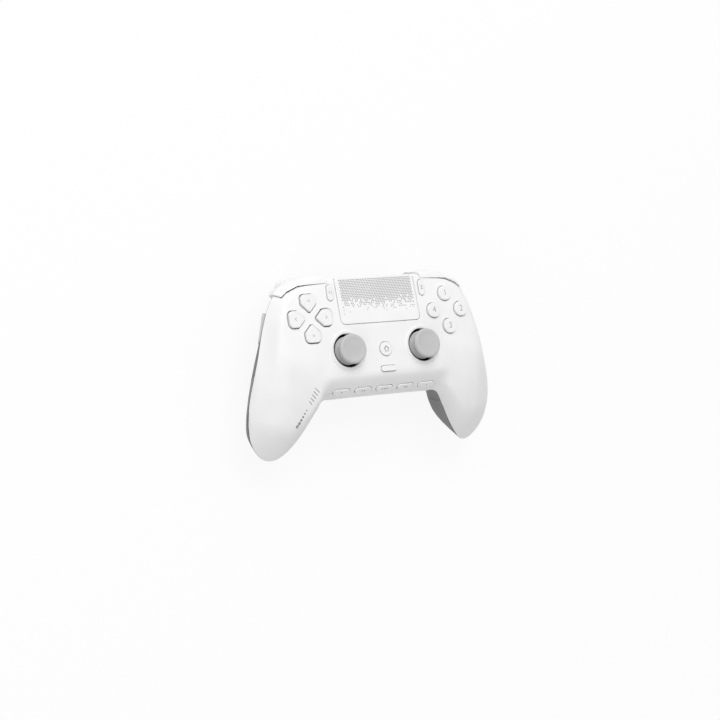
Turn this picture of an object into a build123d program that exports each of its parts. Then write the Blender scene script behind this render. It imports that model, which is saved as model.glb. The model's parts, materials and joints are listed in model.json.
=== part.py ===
from build123d import *
import math
import os

# Overall size
body_width = 162.0
body_depth = 97.0
body_thickness = 50.0
front_wall = 2.0
back_wall = 2.4
cut_overrun = 2.0

# Parting line between the shells. Each row gives the station along the half width, then the y and z of the
# lower and of the upper edge, as shares of the depth and the thickness, and how far the front rounds over
# from each edge, as shares of the section's own length.
parting_shares = (
    (0.000, -0.247, -0.310, 0.450, -0.180, 0.03, 0.05),
    (0.400, -0.249, -0.313, 0.450, -0.180, 0.04, 0.05),
    (0.480, -0.258, -0.285, 0.447, -0.180, 0.07, 0.06),
    (0.550, -0.334, -0.362, 0.437, -0.180, 0.11, 0.06),
    (0.620, -0.422, -0.450, 0.423, -0.180, 0.13, 0.07),
    (0.690, -0.493, -0.530, 0.402, -0.176, 0.15, 0.08),
    (0.760, -0.539, -0.603, 0.375, -0.170, 0.17, 0.15),
    (0.820, -0.549, -0.648, 0.304, -0.186, 0.20, 0.27),
    (0.880, -0.532, -0.650, 0.168, -0.228, 0.24, 0.42),
    (0.930, -0.497, -0.620, 0.016, -0.268, 0.30, 0.50),
    (0.965, -0.456, -0.580, -0.105, -0.336, 0.38, 0.46),
    (0.988, -0.410, -0.540, -0.195, -0.400, 0.42, 0.42),
    (1.000, -0.345, -0.495, -0.260, -0.435, 0.42, 0.42),
)
stations_between = 1
round_steps = 3
flat_steps = 8
lining_steps = 2
round_sides = 24
small_sides = 12
pill_steps = 6
front_side_share = 0.76
back_side_share = 0.70
end_share = 0.97
middle_fullness = 0.55
side_fullness = 0.90
front_edge_fullness = 0.70
back_edge_fullness = 0.80

# Blending of the section shapes, as shares of the half width
front_blend_shares = (0.70, 0.88)
back_blend_shares = (0.60, 0.85)
grip_fall_power = 1.7

# Front relief, heights measured down from the face plane
flat_half_width = 30.0
side_fall = 1.0
side_reach = 30.0
grip_fall = 13.5
grip_reach = 43.0
top_start_y = 20.0
top_fall = 1.5
top_reach = 24.0
bevel_start_y = -15.0
bevel_slope = 1.28
bevel_softness = 1.6
bevel_inner_x = 35.0
bevel_outer_x = 45.0

# Back relief
hump_y = 20.0
hump_depth = 40.5
hump_sag = 22.3
hump_reach = 44.0
grip_depth = 52.5
grip_rise_y = -30.0
grip_rise_slope = 0.42
grip_softness = 10.0
middle_half_width = 30.0
grip_half_width = 60.0
back_round_share = 0.28
back_taper_share = 0.62
rim_share = 1.25

# Clearances
seat_gap = 0.3
seam_gap = 0.4
key_gap = 0.35
slide_gap = 0.1
pin_gap = 0.03

# Sticks, heights from the face plane
stick_x = 25.0
stick_y = 0.7
stick_pivot_z = -8.2
stick_tilt = 12.0
stick_press = 0.5
cap_radius = 8.4
cap_bottom_z = 3.9
cap_top_z = 6.5
cap_lower_edge = 1.2
cap_upper_edge = 0.9
cap_dish_radius = 6.0
cap_dish_depth = 0.4
skirt_radius = 10.7
skirt_cover_angle = 37.0
skirt_wall = 0.9
stem_radius = 1.5
stem_collar_radius = 2.2
ring_inner_radius = 9.5
ring_outer_radius = 11.4
ring_rise = 0.6
ring_drop = 2.6
ring_edge = 0.5
module_half = 7.8
module_corner = 3.4
module_wall = 1.2
module_lid = 0.6
module_window = 5.0
module_top_z = -4.8
yoke_length = 11.4
yoke_width = 9.0
yoke_wall = 1.9
yoke_height = 3.0
yoke_pin_radius = 1.1
hub_size = 4.6
hub_pin_radius = 0.8
neck_radius = 5.6
stem_end_depth = 1.3
yoke_end_gap = 0.5
stem_collar_gap = 0.05
skirt_steps = 2
skirt_top_angle = 14.0

# Round buttons and the direction pad
pod_x = 46.1
pod_y = 20.1
button_offset = 9.7
button_radius = 4.3
button_rise = 1.4
button_edge = 0.4
button_travel = 1.2
button_flange = 0.9
button_foot_gap = 0.15
button_low = -3.8
button_tab_height = 0.8
button_tab_width = 2.0
button_tab_angles = (90.0, 180.0, 270.0)
button_stem = 4.0
dpad_reach = 13.6
dpad_half_key = 4.7
dpad_tip = 3.4
dpad_corner = 2.2
dpad_rise = 1.2
dpad_gap = 0.6
dpad_tilt = 3.0
dpad_flange = 0.1
dpad_plate_z = -3.5
dpad_plate_wall = 1.2
dpad_pivot_z = -6.8
dpad_pin_radius = 0.8
dpad_lug_offset = 3.0
dpad_lug_wall = 1.2
dpad_post_offset = 6.0
dpad_lug_half = 1.8
dpad_lug_drop = 1.2
dpad_pin_reach = 7.5
dpad_cross_reach = 4.0
dpad_post_top = -5.6
dpad_foot_offset = 10.6
dpad_foot_half = 0.7
dpad_foot_gap = 0.2

# Small buttons
menu_x = 30.9
menu_y = 34.0
menu_width = 3.9
menu_length = 9.2
menu_rise = 0.5
home_radius = 4.0
home_rise = 0.6
mute_y = -11.2
mute_length = 10.2
mute_width = 3.2
mute_rise = 0.7
small_travel = 0.6
small_flange = 0.8
small_stem = 2.0
small_collar_high = -2.4
small_collar_low = -3.2
small_foot_gap = 0.1
menu_collar_length = 6.0
bottom_key_pitch = 14.3
bottom_key_y = -21.2
bottom_key_length = 10.7
bottom_key_width = 3.9
bottom_key_rise = 0.7
bottom_key_count = 5
bottom_key_low = -2.4
key_switch_height = 1.5
key_board_depth = 5.6
key_board_wall = 1.0
key_board_width = 6.0
key_post_radius = 1.2
switch_size = 2.4
switch_height = 2.6

# Touchpad
touchpad_width = 52.8
touchpad_depth = 26.2
touchpad_low_y = 15.5
touchpad_low_z = 0.1
touchpad_high_z = -1.1
touchpad_corner = 2.5
touchpad_wall = 1.6
touchpad_board_wall = 1.0
touchpad_board_margin = 1.6

# Inner frame and boards
frame_top_z = -9.0
frame_wall = 1.4
frame_half_width = 60.0
frame_low_y = -12.0
frame_high_y = 28.0
membrane_wall = 0.8
membrane_size = 27.0
membrane_window_x = 7.7
membrane_window_y = 4.2
dome_sides = 8
membrane_corner_share = 0.41
frame_foot = 3.0
frame_foot_x = 11.5
frame_foot_low_y = -9.0
frame_foot_high_y = 24.0
frame_window_gap = 0.2
frame_notch_x = 6.0
frame_notch_y = 5.0
boss_gap = 0.6
dome_radius = 2.8
dome_top_z = -7.75
board_top_z = -12.0
board_wall = 1.2
board_half_width = 32.2
board_low_y = -12.6
board_high_y = 37.0

# Sockets
usb_width = 8.9
usb_height = 3.2
usb_length = 7.2
usb_wall = 0.4
usb_tongue_wall = 0.7
usb_tongue_half = 3.0
usb_back_wall = 0.8
usb_mouth_y = 43.2
jack_bore_radius = 1.75
jack_bore_length = 11.0
jack_collar_radius = 2.9
jack_collar_length = 4.6
jack_z = -17.5
jack_body_width = 6.4
jack_body_height = 4.0
jack_body_length = 7.4
jack_mouth_y = -19.5

# Battery, tray and motors
battery_width = 58.0
battery_depth = 30.0
battery_height = 8.5
battery_y = 8.0
battery_top_z = -16.5
battery_edge = 2.0
tray_wall = 1.4
tray_rim = 4.0
tray_leg = 5.0
tray_leg_x = 24.0
tray_leg_low_y = -2.0
tray_leg_high_y = 18.0
motor_y = -20.0
motor_z = -27.5
motor_radius = 8.5
motor_inner_x = 50.5
motor_length = 11.0
motor_shaft_radius = 0.8
weight_radius = 9.3
weight_gap = 1.2
weight_length = 4.5
cradle_wall = 1.6
cradle_half = 9.0

# Screws and posts
upper_screw_x = 38.0
upper_screw_y = 3.0
upper_screw_joint_z = -14.5
lower_screw_x = 60.0
lower_screw_y = -37.0
lower_screw_joint_z = -29.0
boss_radius = 2.6
post_radius = 3.3
screw_radius = 1.0
screw_length = 9.0
screw_head_radius = 2.0
screw_head_height = 1.3
screw_seat_depth = 4.0

# Shoulder pocket, bumper and trigger
bumper_start_x = 31.3
bumper_hump = 3.0
bumper_bottom_z = -12.6
bumper_wall = 1.8
bumper_swing = 1.5
bumper_round_low = 4.5
bumper_round_high = 9.0
bumper_rim_z = -8.7
bumper_form_start = 25.0
bumper_stations = 8
bumper_round_steps = 4
bumper_end_share = 0.08
bumper_hump_power = 0.7
bumper_round_shares = (0.4, 1.0)
seam_shares = ((0.386, 0.407), (0.617, 0.397), (0.704, 0.366), (0.744, 0.338), (0.827, 0.402))
pocket_end_x = 66.0
pocket_wall = 2.0
trigger_start_x = 34.5
trigger_end_x = 56.0
trigger_back_y = 31.0
trigger_top_z = -13.4
trigger_pivot_y = 35.5
trigger_pivot_z = -16.2
trigger_barrel_radius = 2.3
trigger_pin_radius = 1.0
trigger_spring_length = 4.0
trigger_spring_radius = 2.2
trigger_spring_wall = 0.7
trigger_gap = 0.5
trigger_height = 16.0
trigger_profile_shares = (
    (0.000, 0.135), (0.382, 0.153), (0.618, 0.071), (0.718, -0.235), (0.682, -0.676),
    (0.729, -0.894), (0.800, -1.000), (0.600, -1.000), (0.412, -0.753), (0.247, -0.441), (0.000, -0.135),
)
trigger_plan_shares = ((0.0, 0.72), (0.2, 0.84), (0.5, 0.84), (0.8, 0.68), (1.0, 0.42))

# Side buttons and rear paddles
side_button_length = 18.0
side_button_height = 5.2
side_button_rise = 1.4
side_button_depth = 4.6
side_button_drop = 4.6
side_button_flange = 0.7
side_button_flange_wall = 1.0
side_button_share = 0.868
side_button_span_share = 0.02
side_button_steps = 50
paddle_root_x = 8.0
paddle_length = 24.0
paddle_width = 10.0
paddle_tip_width = 7.0
paddle_wall = 2.2
paddle_press_gap = 0.48
paddle_root_length = 3.0
paddle_root_gap = 0.35
paddle_swing = 2.2
paddle_low_y = -12.0
paddle_high_y = 1.0
panel_wall = 1.2
panel_drop = 1.0
panel_end_share = 1.06
panel_seam_shares = ((0.37, -0.34), (0.57, -0.31), (0.77, -0.12), (1.05, -0.04), (1.05, -0.6), (0.37, -0.6))
rest_flat = 0.4
side_slide = 0.6

half_width = body_width / 2


def ramp(value, start, end):
    share = min(max((value - start) / (end - start), 0), 1)
    return share * share * (3 - 2 * share)


def soft_step(distance, softness):
    return (math.hypot(distance, softness) + distance) / 2


def face_height(x, y):
    middle = 1 - ramp(abs(x), bevel_inner_x, bevel_outer_x)
    fall = side_fall * (max(abs(x) - flat_half_width, 0) / side_reach) ** 2
    fall += top_fall * (max(y - top_start_y, 0) / top_reach) ** 2
    fall += (1 - middle) * grip_fall * (max(-y, 0) / grip_reach) ** grip_fall_power
    fall += middle * bevel_slope * soft_step(bevel_start_y - y, bevel_softness)
    return -fall


def back_height(x, y):
    grip = ramp(abs(x), middle_half_width, grip_half_width)
    middle_drop = hump_depth - hump_sag * ((y - hump_y) / hump_reach) ** 2
    grip_drop = grip_depth - grip_rise_slope * soft_step(y - grip_rise_y, grip_softness)
    return -middle_drop * (1 - grip) - grip_drop * grip


def between_rows(rows, index, share):
    before = rows[max(index - 1, 0)]
    start = rows[index]
    end = rows[index + 1]
    after = rows[min(index + 2, len(rows) - 1)]
    span = end[0] - start[0]
    mixed = [start[0] + share * span]
    for column in range(1, len(start)):
        slope_in = (end[column] - before[column]) / (end[0] - before[0]) * span
        slope_out = (after[column] - start[column]) / (after[0] - start[0]) * span
        rise = end[column] - start[column]
        first = slope_in * share * (1 - share) ** 2
        last = slope_out * share**2 * (1 - share)
        mixed.append(start[column] + rise * share**2 * (3 - 2 * share) + first - last)
    return tuple(mixed)


def stations():
    half = []
    for index in range(len(parting_shares) - 1):
        for step in range(stations_between):
            half.append(between_rows(parting_shares, index, step / stations_between))
    half.append(parting_shares[-1])
    return [(-row[0],) + row[1:] for row in reversed(half[1:])] + half


def swell(share, low_round, high_round, fullness):
    low = math.sin(math.pi / 2 * min(share / low_round, 1))
    high = math.sin(math.pi / 2 * min((1 - share) / high_round, 1))
    return (max(low, 0) * max(high, 0)) ** fullness


def side_swell(station, start_share, fullness):
    reach = max(abs(station) - start_share, 0) / (1 - start_share)
    return math.cos(math.pi / 2 * end_share * reach) ** fullness


def ring_shares(low_round, high_round, corner, flat):
    quarter = [1 - math.cos(math.pi / 2 * step / corner) for step in range(corner + 1)]
    low = [low_round * turn for turn in quarter]
    middle = [low_round + (1 - low_round - high_round) * step / flat for step in range(1, flat)]
    high = [1 - high_round * turn for turn in reversed(quarter)]
    return low + middle + high


def section(row, inset, front, corner, flat):
    station, low_y, low_z, high_y, high_z, low_round, high_round = row
    if front:
        blend = ramp(abs(station), *front_blend_shares)
        fullness = middle_fullness + (side_fullness - middle_fullness) * blend
        side = side_swell(station, front_side_share, front_edge_fullness)
    else:
        low_round = back_round_share
        blend = ramp(abs(station), *back_blend_shares)
        high_round = back_round_share + (back_taper_share - back_round_share) * blend
        fullness = side_fullness
        side = side_swell(station, back_side_share, back_edge_fullness)
    x = station * (half_width - inset)
    start = (low_y * body_depth, low_z * body_thickness)
    end = (high_y * body_depth, high_z * body_thickness)
    chord_slope = (end[1] - start[1]) / (end[0] - start[0])
    rim = inset * rim_share
    points = []
    for share in ring_shares(low_round, high_round, corner, flat):
        y = start[0] + rim + share * (end[0] - start[0] - 2 * rim)
        chord = start[1] + chord_slope * (y - start[0])
        goal = face_height(x, y) - inset if front else back_height(x, y) + inset
        height = swell(share, low_round, high_round, fullness) * side
        points.append((x, y, chord + height * (goal - chord)))
    return points


def triangles(a, b, c, d):
    return [Face(Wire.make_polygon([a, b, c])), Face(Wire.make_polygon([a, c, d]))]


def strips(rows):
    faces = []
    for row, following in zip(rows, rows[1:]):
        for step in range(len(row) - 1):
            faces += triangles(row[step], row[step + 1], following[step + 1], following[step])
    return faces


def half_form(inset, front, corner, flat):
    rows = [section(row, inset, front, corner, flat) for row in stations()]
    faces = strips(rows) + strips([[row[0], row[-1]] for row in rows])
    faces += [Face(Wire.make_polygon(row)) for row in (rows[0], rows[-1])]
    return Solid(Shell(faces))


def shell_form(wall, front):
    outer = [section(row, 0, front, round_steps, flat_steps) for row in stations()]
    inner = [section(row, wall, front, lining_steps, flat_steps) for row in stations()]
    faces = strips(outer) + strips(inner)
    for end in (0, -1):
        faces += strips([[row[end] for row in outer], [row[end] for row in inner]])
    for end in (0, -1):
        faces.append(Face(Wire.make_polygon(outer[end])))
        faces.append(Face(Wire.make_polygon(inner[end])))
        faces += triangles(outer[end][0], outer[end][-1], inner[end][-1], inner[end][0])
    return Solid(Shell(faces))


# Plain building solids
def block(start, end):
    size = [high - low for low, high in zip(start, end)]
    centre = [(low + high) / 2 for low, high in zip(start, end)]
    return Pos(*centre) * Box(*size)


def circle_points(radius, sides):
    turns = [2 * math.pi * step / sides for step in range(sides)]
    return [(radius * math.cos(turn), radius * math.sin(turn)) for turn in turns]


def drum(radius, low, high, sides=round_sides):
    return prism(circle_points(radius, sides), low, high)


def rod(radius, low, high):
    return Pos(0, 0, (low + high) / 2) * Cylinder(radius, high - low)


def slim_bar(radius, start, end):
    return Rot(Y=90) * drum(radius, start, end, small_sides)


def slim_bore(radius, start, end):
    return slim_bar(radius / math.cos(math.pi / small_sides), start, end)


def pill(length, width, low, high):
    points = []
    for side, start in ((1, -math.pi / 2), (-1, math.pi / 2)):
        middle = side * (length - width) / 2
        for step in range(pill_steps + 1):
            turn = start + math.pi * step / pill_steps
            points.append((middle + width / 2 * math.cos(turn), width / 2 * math.sin(turn)))
    return prism(points, low, high)


def prism(points, low, high):
    outline = Face(Wire.make_polygon([(x, y, 0) for x, y in points]))
    return Pos(0, 0, low) * extrude(outline, high - low, dir=(0, 0, 1))


def mirror_x(solid):
    return mirror(solid, about=Plane.YZ)


def both_sides(solid):
    return [solid, mirror_x(solid)]


def prism_x(points, start, end):
    outline = Face(Wire.make_polygon([(start, y, z) for y, z in points]))
    return extrude(outline, end - start, dir=(1, 0, 0))


def ngon(radius, sides, low, high):
    return Pos(0, 0, low) * extrude(RegularPolygon(radius, sides), high - low)


def centred(length, width, height):
    return Box(length, width, height)


def turned(points, closed=False):
    sides = circle_points(1, round_sides)
    if closed:
        points = points + points[:1]
    faces = []
    for (inner, low), (outer, high) in zip(points, points[1:]):
        for (x, y), (next_x, next_y) in zip(sides, sides[1:] + sides[:1]):
            corners = [(inner * x, inner * y, low), (outer * x, outer * y, high)]
            corners += [(outer * next_x, outer * next_y, high), (inner * next_x, inner * next_y, low)]
            faces.append(Face(Wire.make_polygon(list(dict.fromkeys(corners)))))
    return Solid(Shell(faces))


def surface_height(x, y, front, inset=0):
    corner = lining_steps if inset else round_steps
    points = section(parting_row(abs(x) / half_width), inset, front, corner, flat_steps)
    for before, after in zip(points, points[1:]):
        if y <= after[1]:
            share = (y - before[1]) / (after[1] - before[1])
            return before[2] + share * (after[2] - before[2])
    return points[-1][2]


def one_solid(shape):
    return max(shape.solids(), key=lambda solid: solid.volume)


# Places of the controls
def stick_places():
    return {side: Pos(sign * stick_x, stick_y, 0) for side, sign in (("left", -1), ("right", 1))}


def face_button_places():
    turns = {"north": 90, "east": 0, "south": -90, "west": 180}
    places = {}
    for name, turn in turns.items():
        x = pod_x + button_offset * math.cos(math.radians(turn))
        y = pod_y + button_offset * math.sin(math.radians(turn))
        places[name] = Pos(x, y, face_height(x, y))
    return places


def bottom_key_places():
    tilt = math.degrees(math.atan(bevel_slope))
    first = -(bottom_key_count - 1) / 2
    height = face_height(0, bottom_key_y)
    return [
        Pos((first + index) * bottom_key_pitch, bottom_key_y, height) * Rot(X=tilt)
        for index in range(bottom_key_count)
    ]


def menu_places():
    height = face_height(menu_x, menu_y)
    sides = (("left", -1), ("right", 1))
    return {side: Pos(sign * menu_x, menu_y, height) * Rot(Z=90) for side, sign in sides}


def touchpad_tilt():
    return math.degrees(math.atan((touchpad_high_z - touchpad_low_z) / touchpad_depth))


def touchpad_place():
    return Pos(0, touchpad_low_y, touchpad_low_z) * Rot(X=touchpad_tilt())


def touchpad_outline(grow):
    width = touchpad_width / 2 + grow
    low = -grow
    high = touchpad_depth + grow
    sheet = Pos(0, (low + high) / 2) * Rectangle(2 * width, high - low)
    return fillet(sheet.vertices().sort_by(Axis.Y)[:2], touchpad_corner + grow)


def key_outline(grow):
    slant = dpad_tip - grow * math.sqrt(2)
    half = dpad_half_key + grow
    reach = dpad_reach + grow
    corner = dpad_corner
    points = [
        (slant, 0),
        (slant + half, half),
        (reach - corner, half),
        (reach, half - corner),
        (reach, corner - half),
        (reach - corner, -half),
        (slant + half, -half),
    ]
    return points


# Shoulder pocket
def seam_points(grow):
    points = [(x * half_width, y * body_depth) for x, y in seam_shares]
    points = [(points[0][0] - grow, points[0][1] - grow)] + [(x, y - grow) for x, y in points[1:]]
    points[-1] = (points[-1][0] + grow, points[-1][1] - grow)
    top = body_depth
    return points + [(points[-1][0], top), (points[0][0], top)]


def shoulder_pocket(grow):
    upper = prism(seam_points(grow), trigger_top_z + seam_gap - grow, body_thickness)
    start = (trigger_start_x - grow, trigger_back_y - grow, -2 * body_thickness)
    end = (trigger_end_x + grow, body_depth, trigger_top_z + seam_gap + grow)
    return upper + block(start, end)


def parting_row(station):
    rows = parting_shares
    for index, (row, following) in enumerate(zip(rows, rows[1:])):
        if station <= following[0]:
            return between_rows(rows, index, (station - row[0]) / (following[0] - row[0]))
    return rows[-1]


def bumper_section(x):
    share = (x - bumper_start_x) / (pocket_end_x - bumper_start_x)
    within = min(max(share, bumper_end_share), 1 - bumper_end_share)
    rim_y = parting_row(x / half_width)[3] * body_depth
    rim_y += bumper_hump * math.sin(math.pi * within) ** bumper_hump_power
    reach = bumper_round_low + (bumper_round_high - bumper_round_low) * ramp(share, *bumper_round_shares)
    points = [(x, bumper_form_start, face_height(x, bumper_form_start))]
    for step in range(bumper_round_steps + 1):
        turn = math.pi / 2 * (1 - step / bumper_round_steps)
        y = rim_y - reach * (1 - math.cos(turn))
        height = math.sin(math.pi / 2 * (1 - math.cos(turn))) ** middle_fullness
        points.append((x, y, bumper_rim_z + height * (face_height(x, y) - bumper_rim_z)))
    points.append((x, rim_y, bumper_bottom_z))
    points.append((x, bumper_form_start, bumper_bottom_z))
    return points


def bumper_form():
    start = bumper_start_x - cut_overrun / 2
    step = (pocket_end_x - bumper_start_x + cut_overrun) / bumper_stations
    rows = [bumper_section(start + index * step) for index in range(bumper_stations + 1)]
    faces = strips([row + [row[0]] for row in rows])
    faces += [Face(Wire.make_polygon(row)) for row in (rows[0], rows[-1])]
    return Solid(Shell(faces))


def bumper_hinge():
    return bumper_start_x + bumper_wall, seam_shares[0][1] * body_depth + bumper_wall


def right_bumper():
    hinge_x, hinge_y = bumper_hinge()
    swing = Pos(hinge_x, hinge_y, 0) * Rot(Z=bumper_swing) * Pos(-hinge_x, -hinge_y, 0)
    room = swing * prism(seam_points(-seam_gap), bumper_bottom_z, body_thickness)
    hollow = prism(seam_points(-bumper_wall), bumper_bottom_z - bumper_wall, bumper_rim_z + bumper_wall)
    inner = Pos(0, -bumper_wall, 0) * bumper_form()
    return one_solid((bumper_form() & room) - (swing * hollow & inner))


# Front shell
def stick_ring():
    points = [
        (ring_inner_radius, -ring_drop),
        (ring_outer_radius, -ring_drop),
        (ring_outer_radius, ring_rise - ring_edge),
        (ring_outer_radius - ring_edge, ring_rise),
        (ring_inner_radius, ring_rise),
    ]
    return turned(points, True)


def dpad_key_solids(grow, low, high):
    key = prism(key_outline(grow), low, high)
    return [Rot(Z=turn) * key for turn in (0, 90, 180, 270)]


def dpad_place():
    return Pos(-pod_x, pod_y, face_height(pod_x, pod_y))


def control_openings():
    deep = -3 * front_wall
    tall = 3 * front_wall
    cuts = [place * drum(ring_inner_radius, deep, tall) for place in stick_places().values()]
    cuts += [dpad_place() * key for key in dpad_key_solids(dpad_gap, deep, tall)]
    cuts += [place * drum(button_radius + key_gap, deep, tall) for place in face_button_places().values()]
    menu_hole = pill(menu_length + 2 * key_gap, menu_width + 2 * key_gap, deep, tall)
    cuts += [place * menu_hole for place in menu_places().values()]
    cuts.append(drum(home_radius + key_gap, deep, tall))
    cuts.append(Pos(0, mute_y, 0) * pill(mute_length + 2 * key_gap, mute_width + 2 * key_gap, deep, tall))
    key_hole = pill(bottom_key_length + 2 * key_gap, bottom_key_width + 2 * key_gap, -2 * front_wall, tall)
    cuts += [place * key_hole for place in bottom_key_places()]
    cuts.append(touchpad_place() * Pos(0, 0, deep) * extrude(touchpad_outline(key_gap), tall - deep))
    return cuts


def usb_opening():
    width = usb_width / 2 + seam_gap
    height = usb_height / 2 + seam_gap
    middle = board_top_z + usb_height / 2
    start = (-width, board_high_y, middle - height)
    return block(start, (width, body_depth, middle + height))


def screw_places():
    upper = [(sign * upper_screw_x, upper_screw_y, upper_screw_joint_z) for sign in (-1, 1)]
    lower = [(sign * lower_screw_x, lower_screw_y, lower_screw_joint_z) for sign in (-1, 1)]
    return upper + lower


def front_bosses():
    bosses = []
    for x, y, joint in screw_places():
        heights = [surface_height(x, y + reach, True) for reach in (-boss_radius, boss_radius)]
        boss = Pos(x, y, 0) * drum(boss_radius, joint, min(heights) - front_wall / 4, small_sides)
        tip = joint + screw_length - screw_seat_depth
        pilot = Pos(x, y, 0) * drum(screw_radius + pin_gap, joint - cut_overrun, tip, small_sides)
        bosses.append(boss - pilot)
    return bosses


def key_board_posts():
    places = bottom_key_places()
    shift = Pos(bottom_key_pitch / 2, 0, 0)
    post = drum(key_post_radius, -key_board_depth, -front_wall / 4, small_sides)
    return [places[index] * shift * post for index in (0, bottom_key_count - 2)]


def front_shell(form):
    shell = shell_form(front_wall, True)
    walls = shoulder_pocket(pocket_wall) & form
    rings = [place * stick_ring() for place in stick_places().values()]
    shell = shell.fuse(*both_sides(walls), *front_bosses(), *key_board_posts(), *rings)
    cuts = control_openings() + both_sides(shoulder_pocket(0)) + [usb_opening()]
    return one_solid(shell.cut(*cuts))


# Rear shell
def jack_hole():
    return Pos(0, 0, jack_z) * Rot(X=90) * rod(jack_collar_radius + slide_gap, 0, body_depth)


def motor_cradle_ribs():
    ribs = []
    for x in (motor_inner_x + cradle_wall, motor_inner_x + motor_length - 2 * cradle_wall):
        start = (x, motor_y - cradle_half, -2 * body_thickness)
        ribs.append(block(start, (x + cradle_wall, motor_y + cradle_half, motor_z)))
    return ribs


def motor_cradles(core):
    seat = Pos(0, motor_y, motor_z) * Rot(Y=90) * drum(motor_radius + pin_gap, 0, half_width)
    return [(rib & core) - seat for rib in motor_cradle_ribs()]


def screw_posts():
    posts = []
    for x, y, joint in screw_places():
        heights = [surface_height(x, y + reach, False) for reach in (-post_radius, post_radius)]
        posts.append(Pos(x, y, 0) * drum(post_radius, max(heights) + back_wall / 4, joint, small_sides))
    return posts


def screw_holes():
    holes = []
    for x, y, joint in screw_places():
        hole = drum(screw_radius + slide_gap, -2 * body_thickness, joint + cut_overrun, small_sides)
        seat = drum(screw_head_radius + slide_gap, -2 * body_thickness, joint - screw_seat_depth, small_sides)
        holes.append(Pos(x, y, 0) * (hole + seat))
    return holes


def case_screws():
    screws = []
    for x, y, joint in screw_places():
        seat = joint - screw_seat_depth
        shank = drum(screw_radius, seat, seat + screw_length, small_sides)
        head = drum(screw_head_radius, seat - screw_head_height, seat, small_sides)
        screws.append(Pos(x, y, 0) * shank.fuse(head))
    return screws


def side_button_place():
    row = parting_row(side_button_share)
    ahead = parting_row(side_button_share - side_button_span_share)
    behind = parting_row(side_button_share + side_button_span_share)
    x = row[0] * half_width
    y = row[3] * body_depth
    z = row[4] * body_thickness
    across = math.atan2((behind[3] - ahead[3]) * body_depth, (behind[0] - ahead[0]) * half_width)
    outward = (-math.sin(across), math.cos(across))
    reach = 0
    while surface_height(x - reach * outward[0], y - reach * outward[1], False) > z - side_button_drop:
        reach += side_button_drop / side_button_steps
    lean = math.degrees(math.atan(reach / side_button_drop))
    middle = Pos(x - reach * outward[0], y - reach * outward[1], z - side_button_drop)
    return middle * Rot(Z=math.degrees(across)) * Rot(X=-90 - lean)


def side_button_opening():
    length = side_button_length + 2 * key_gap
    height = side_button_height + 2 * key_gap
    deep = side_button_depth + side_slide + seat_gap
    return side_button_place() * pill(length, height, -deep, 2 * side_button_depth)


def right_side_button():
    key = pill(side_button_length, side_button_height, -side_button_depth, side_button_rise)
    length = side_button_length / 2 - side_button_height
    height = side_button_height / 2 + side_button_flange
    low = -side_button_depth - side_slide
    collar = block((-length, -height, low), (length, height, low + side_button_flange_wall))
    return side_button_place() * key.fuse(collar)


def below_parting(drop):
    rows = [row for row in stations() if row[0] >= 0]
    rows.append((panel_end_share,) + rows[-1][1:])
    deep = -2 * body_thickness
    loops = []
    for row in rows:
        x = row[0] * half_width
        start, end = row[1] * body_depth, row[3] * body_depth
        low, high = row[2] * body_thickness - drop, row[4] * body_thickness - drop
        extra = (high - low) / (end - start) * cut_overrun
        top = [(x, start - cut_overrun, low - extra), (x, end + cut_overrun, high + extra)]
        loops.append(top + [(x, end + cut_overrun, deep), (x, start - cut_overrun, deep), top[0]])
    faces = strips(loops) + [Face(Wire.make_polygon(loop[:-1])) for loop in (loops[0], loops[-1])]
    return Solid(Shell(faces))


def panel_room():
    outline = [(x * half_width, y * body_depth) for x, y in panel_seam_shares]
    region = prism(outline, -2 * body_thickness, body_thickness)
    return (below_parting(panel_drop) & region) - half_form(panel_wall, False, round_steps, flat_steps)


def trigger_pin():
    start = trigger_start_x - pocket_wall / 2
    end = trigger_end_x + pocket_wall / 2
    return Pos(0, trigger_pivot_y, trigger_pivot_z) * slim_bar(trigger_pin_radius, start, end)


def rear_shell(form, room):
    shell = shell_form(back_wall, False)
    core = half_form((panel_wall + back_wall) / 2, False, lining_steps, flat_steps)
    walls = shoulder_pocket(pocket_wall) & form
    ribs = []
    for rib in motor_cradles(core):
        ribs += both_sides(rib)
    shell = shell.fuse(*both_sides(walls), *screw_posts(), *ribs)
    cuts = both_sides(shoulder_pocket(0)) + screw_holes() + both_sides(side_button_opening())
    cuts += [usb_opening(), jack_hole()] + both_sides(room) + both_sides(trigger_pin())
    return one_solid(shell.cut(*cuts))


# Shoulder triggers
def right_trigger():
    profile = [
        (trigger_pivot_y + along * trigger_height, trigger_pivot_z + rise * trigger_height)
        for along, rise in trigger_profile_shares
    ]
    start = trigger_start_x + trigger_gap
    end = trigger_end_x - trigger_gap
    horn = prism_x(profile, start, end)
    pivot = Pos(0, trigger_pivot_y, trigger_pivot_z)
    barrel = pivot * slim_bar(trigger_barrel_radius, start, end)
    plan = [
        (start + across * (end - start), trigger_pivot_y + along * trigger_height)
        for across, along in trigger_plan_shares
    ]
    plan += [(end, trigger_back_y), (start, trigger_back_y)]
    body = horn.fuse(barrel) & prism(plan, -2 * body_thickness, body_thickness)
    spring_end = start + trigger_spring_length + 2 * seat_gap
    room = pivot * slim_bar(trigger_spring_radius + trigger_gap, start - cut_overrun, spring_end)
    bore = pivot * slim_bore(trigger_pin_radius + pin_gap, start - cut_overrun, end + cut_overrun)
    return one_solid(body - room - bore)


def right_trigger_spring():
    start = trigger_start_x + trigger_gap + seat_gap
    inner = trigger_spring_radius - trigger_spring_wall
    coil = ngon(trigger_spring_radius, dome_sides, 0, trigger_spring_length)
    hole = ngon(inner, dome_sides, -cut_overrun, trigger_spring_length + cut_overrun)
    return Pos(start, trigger_pivot_y, trigger_pivot_z) * Rot(Y=90) * (coil - hole)


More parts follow.
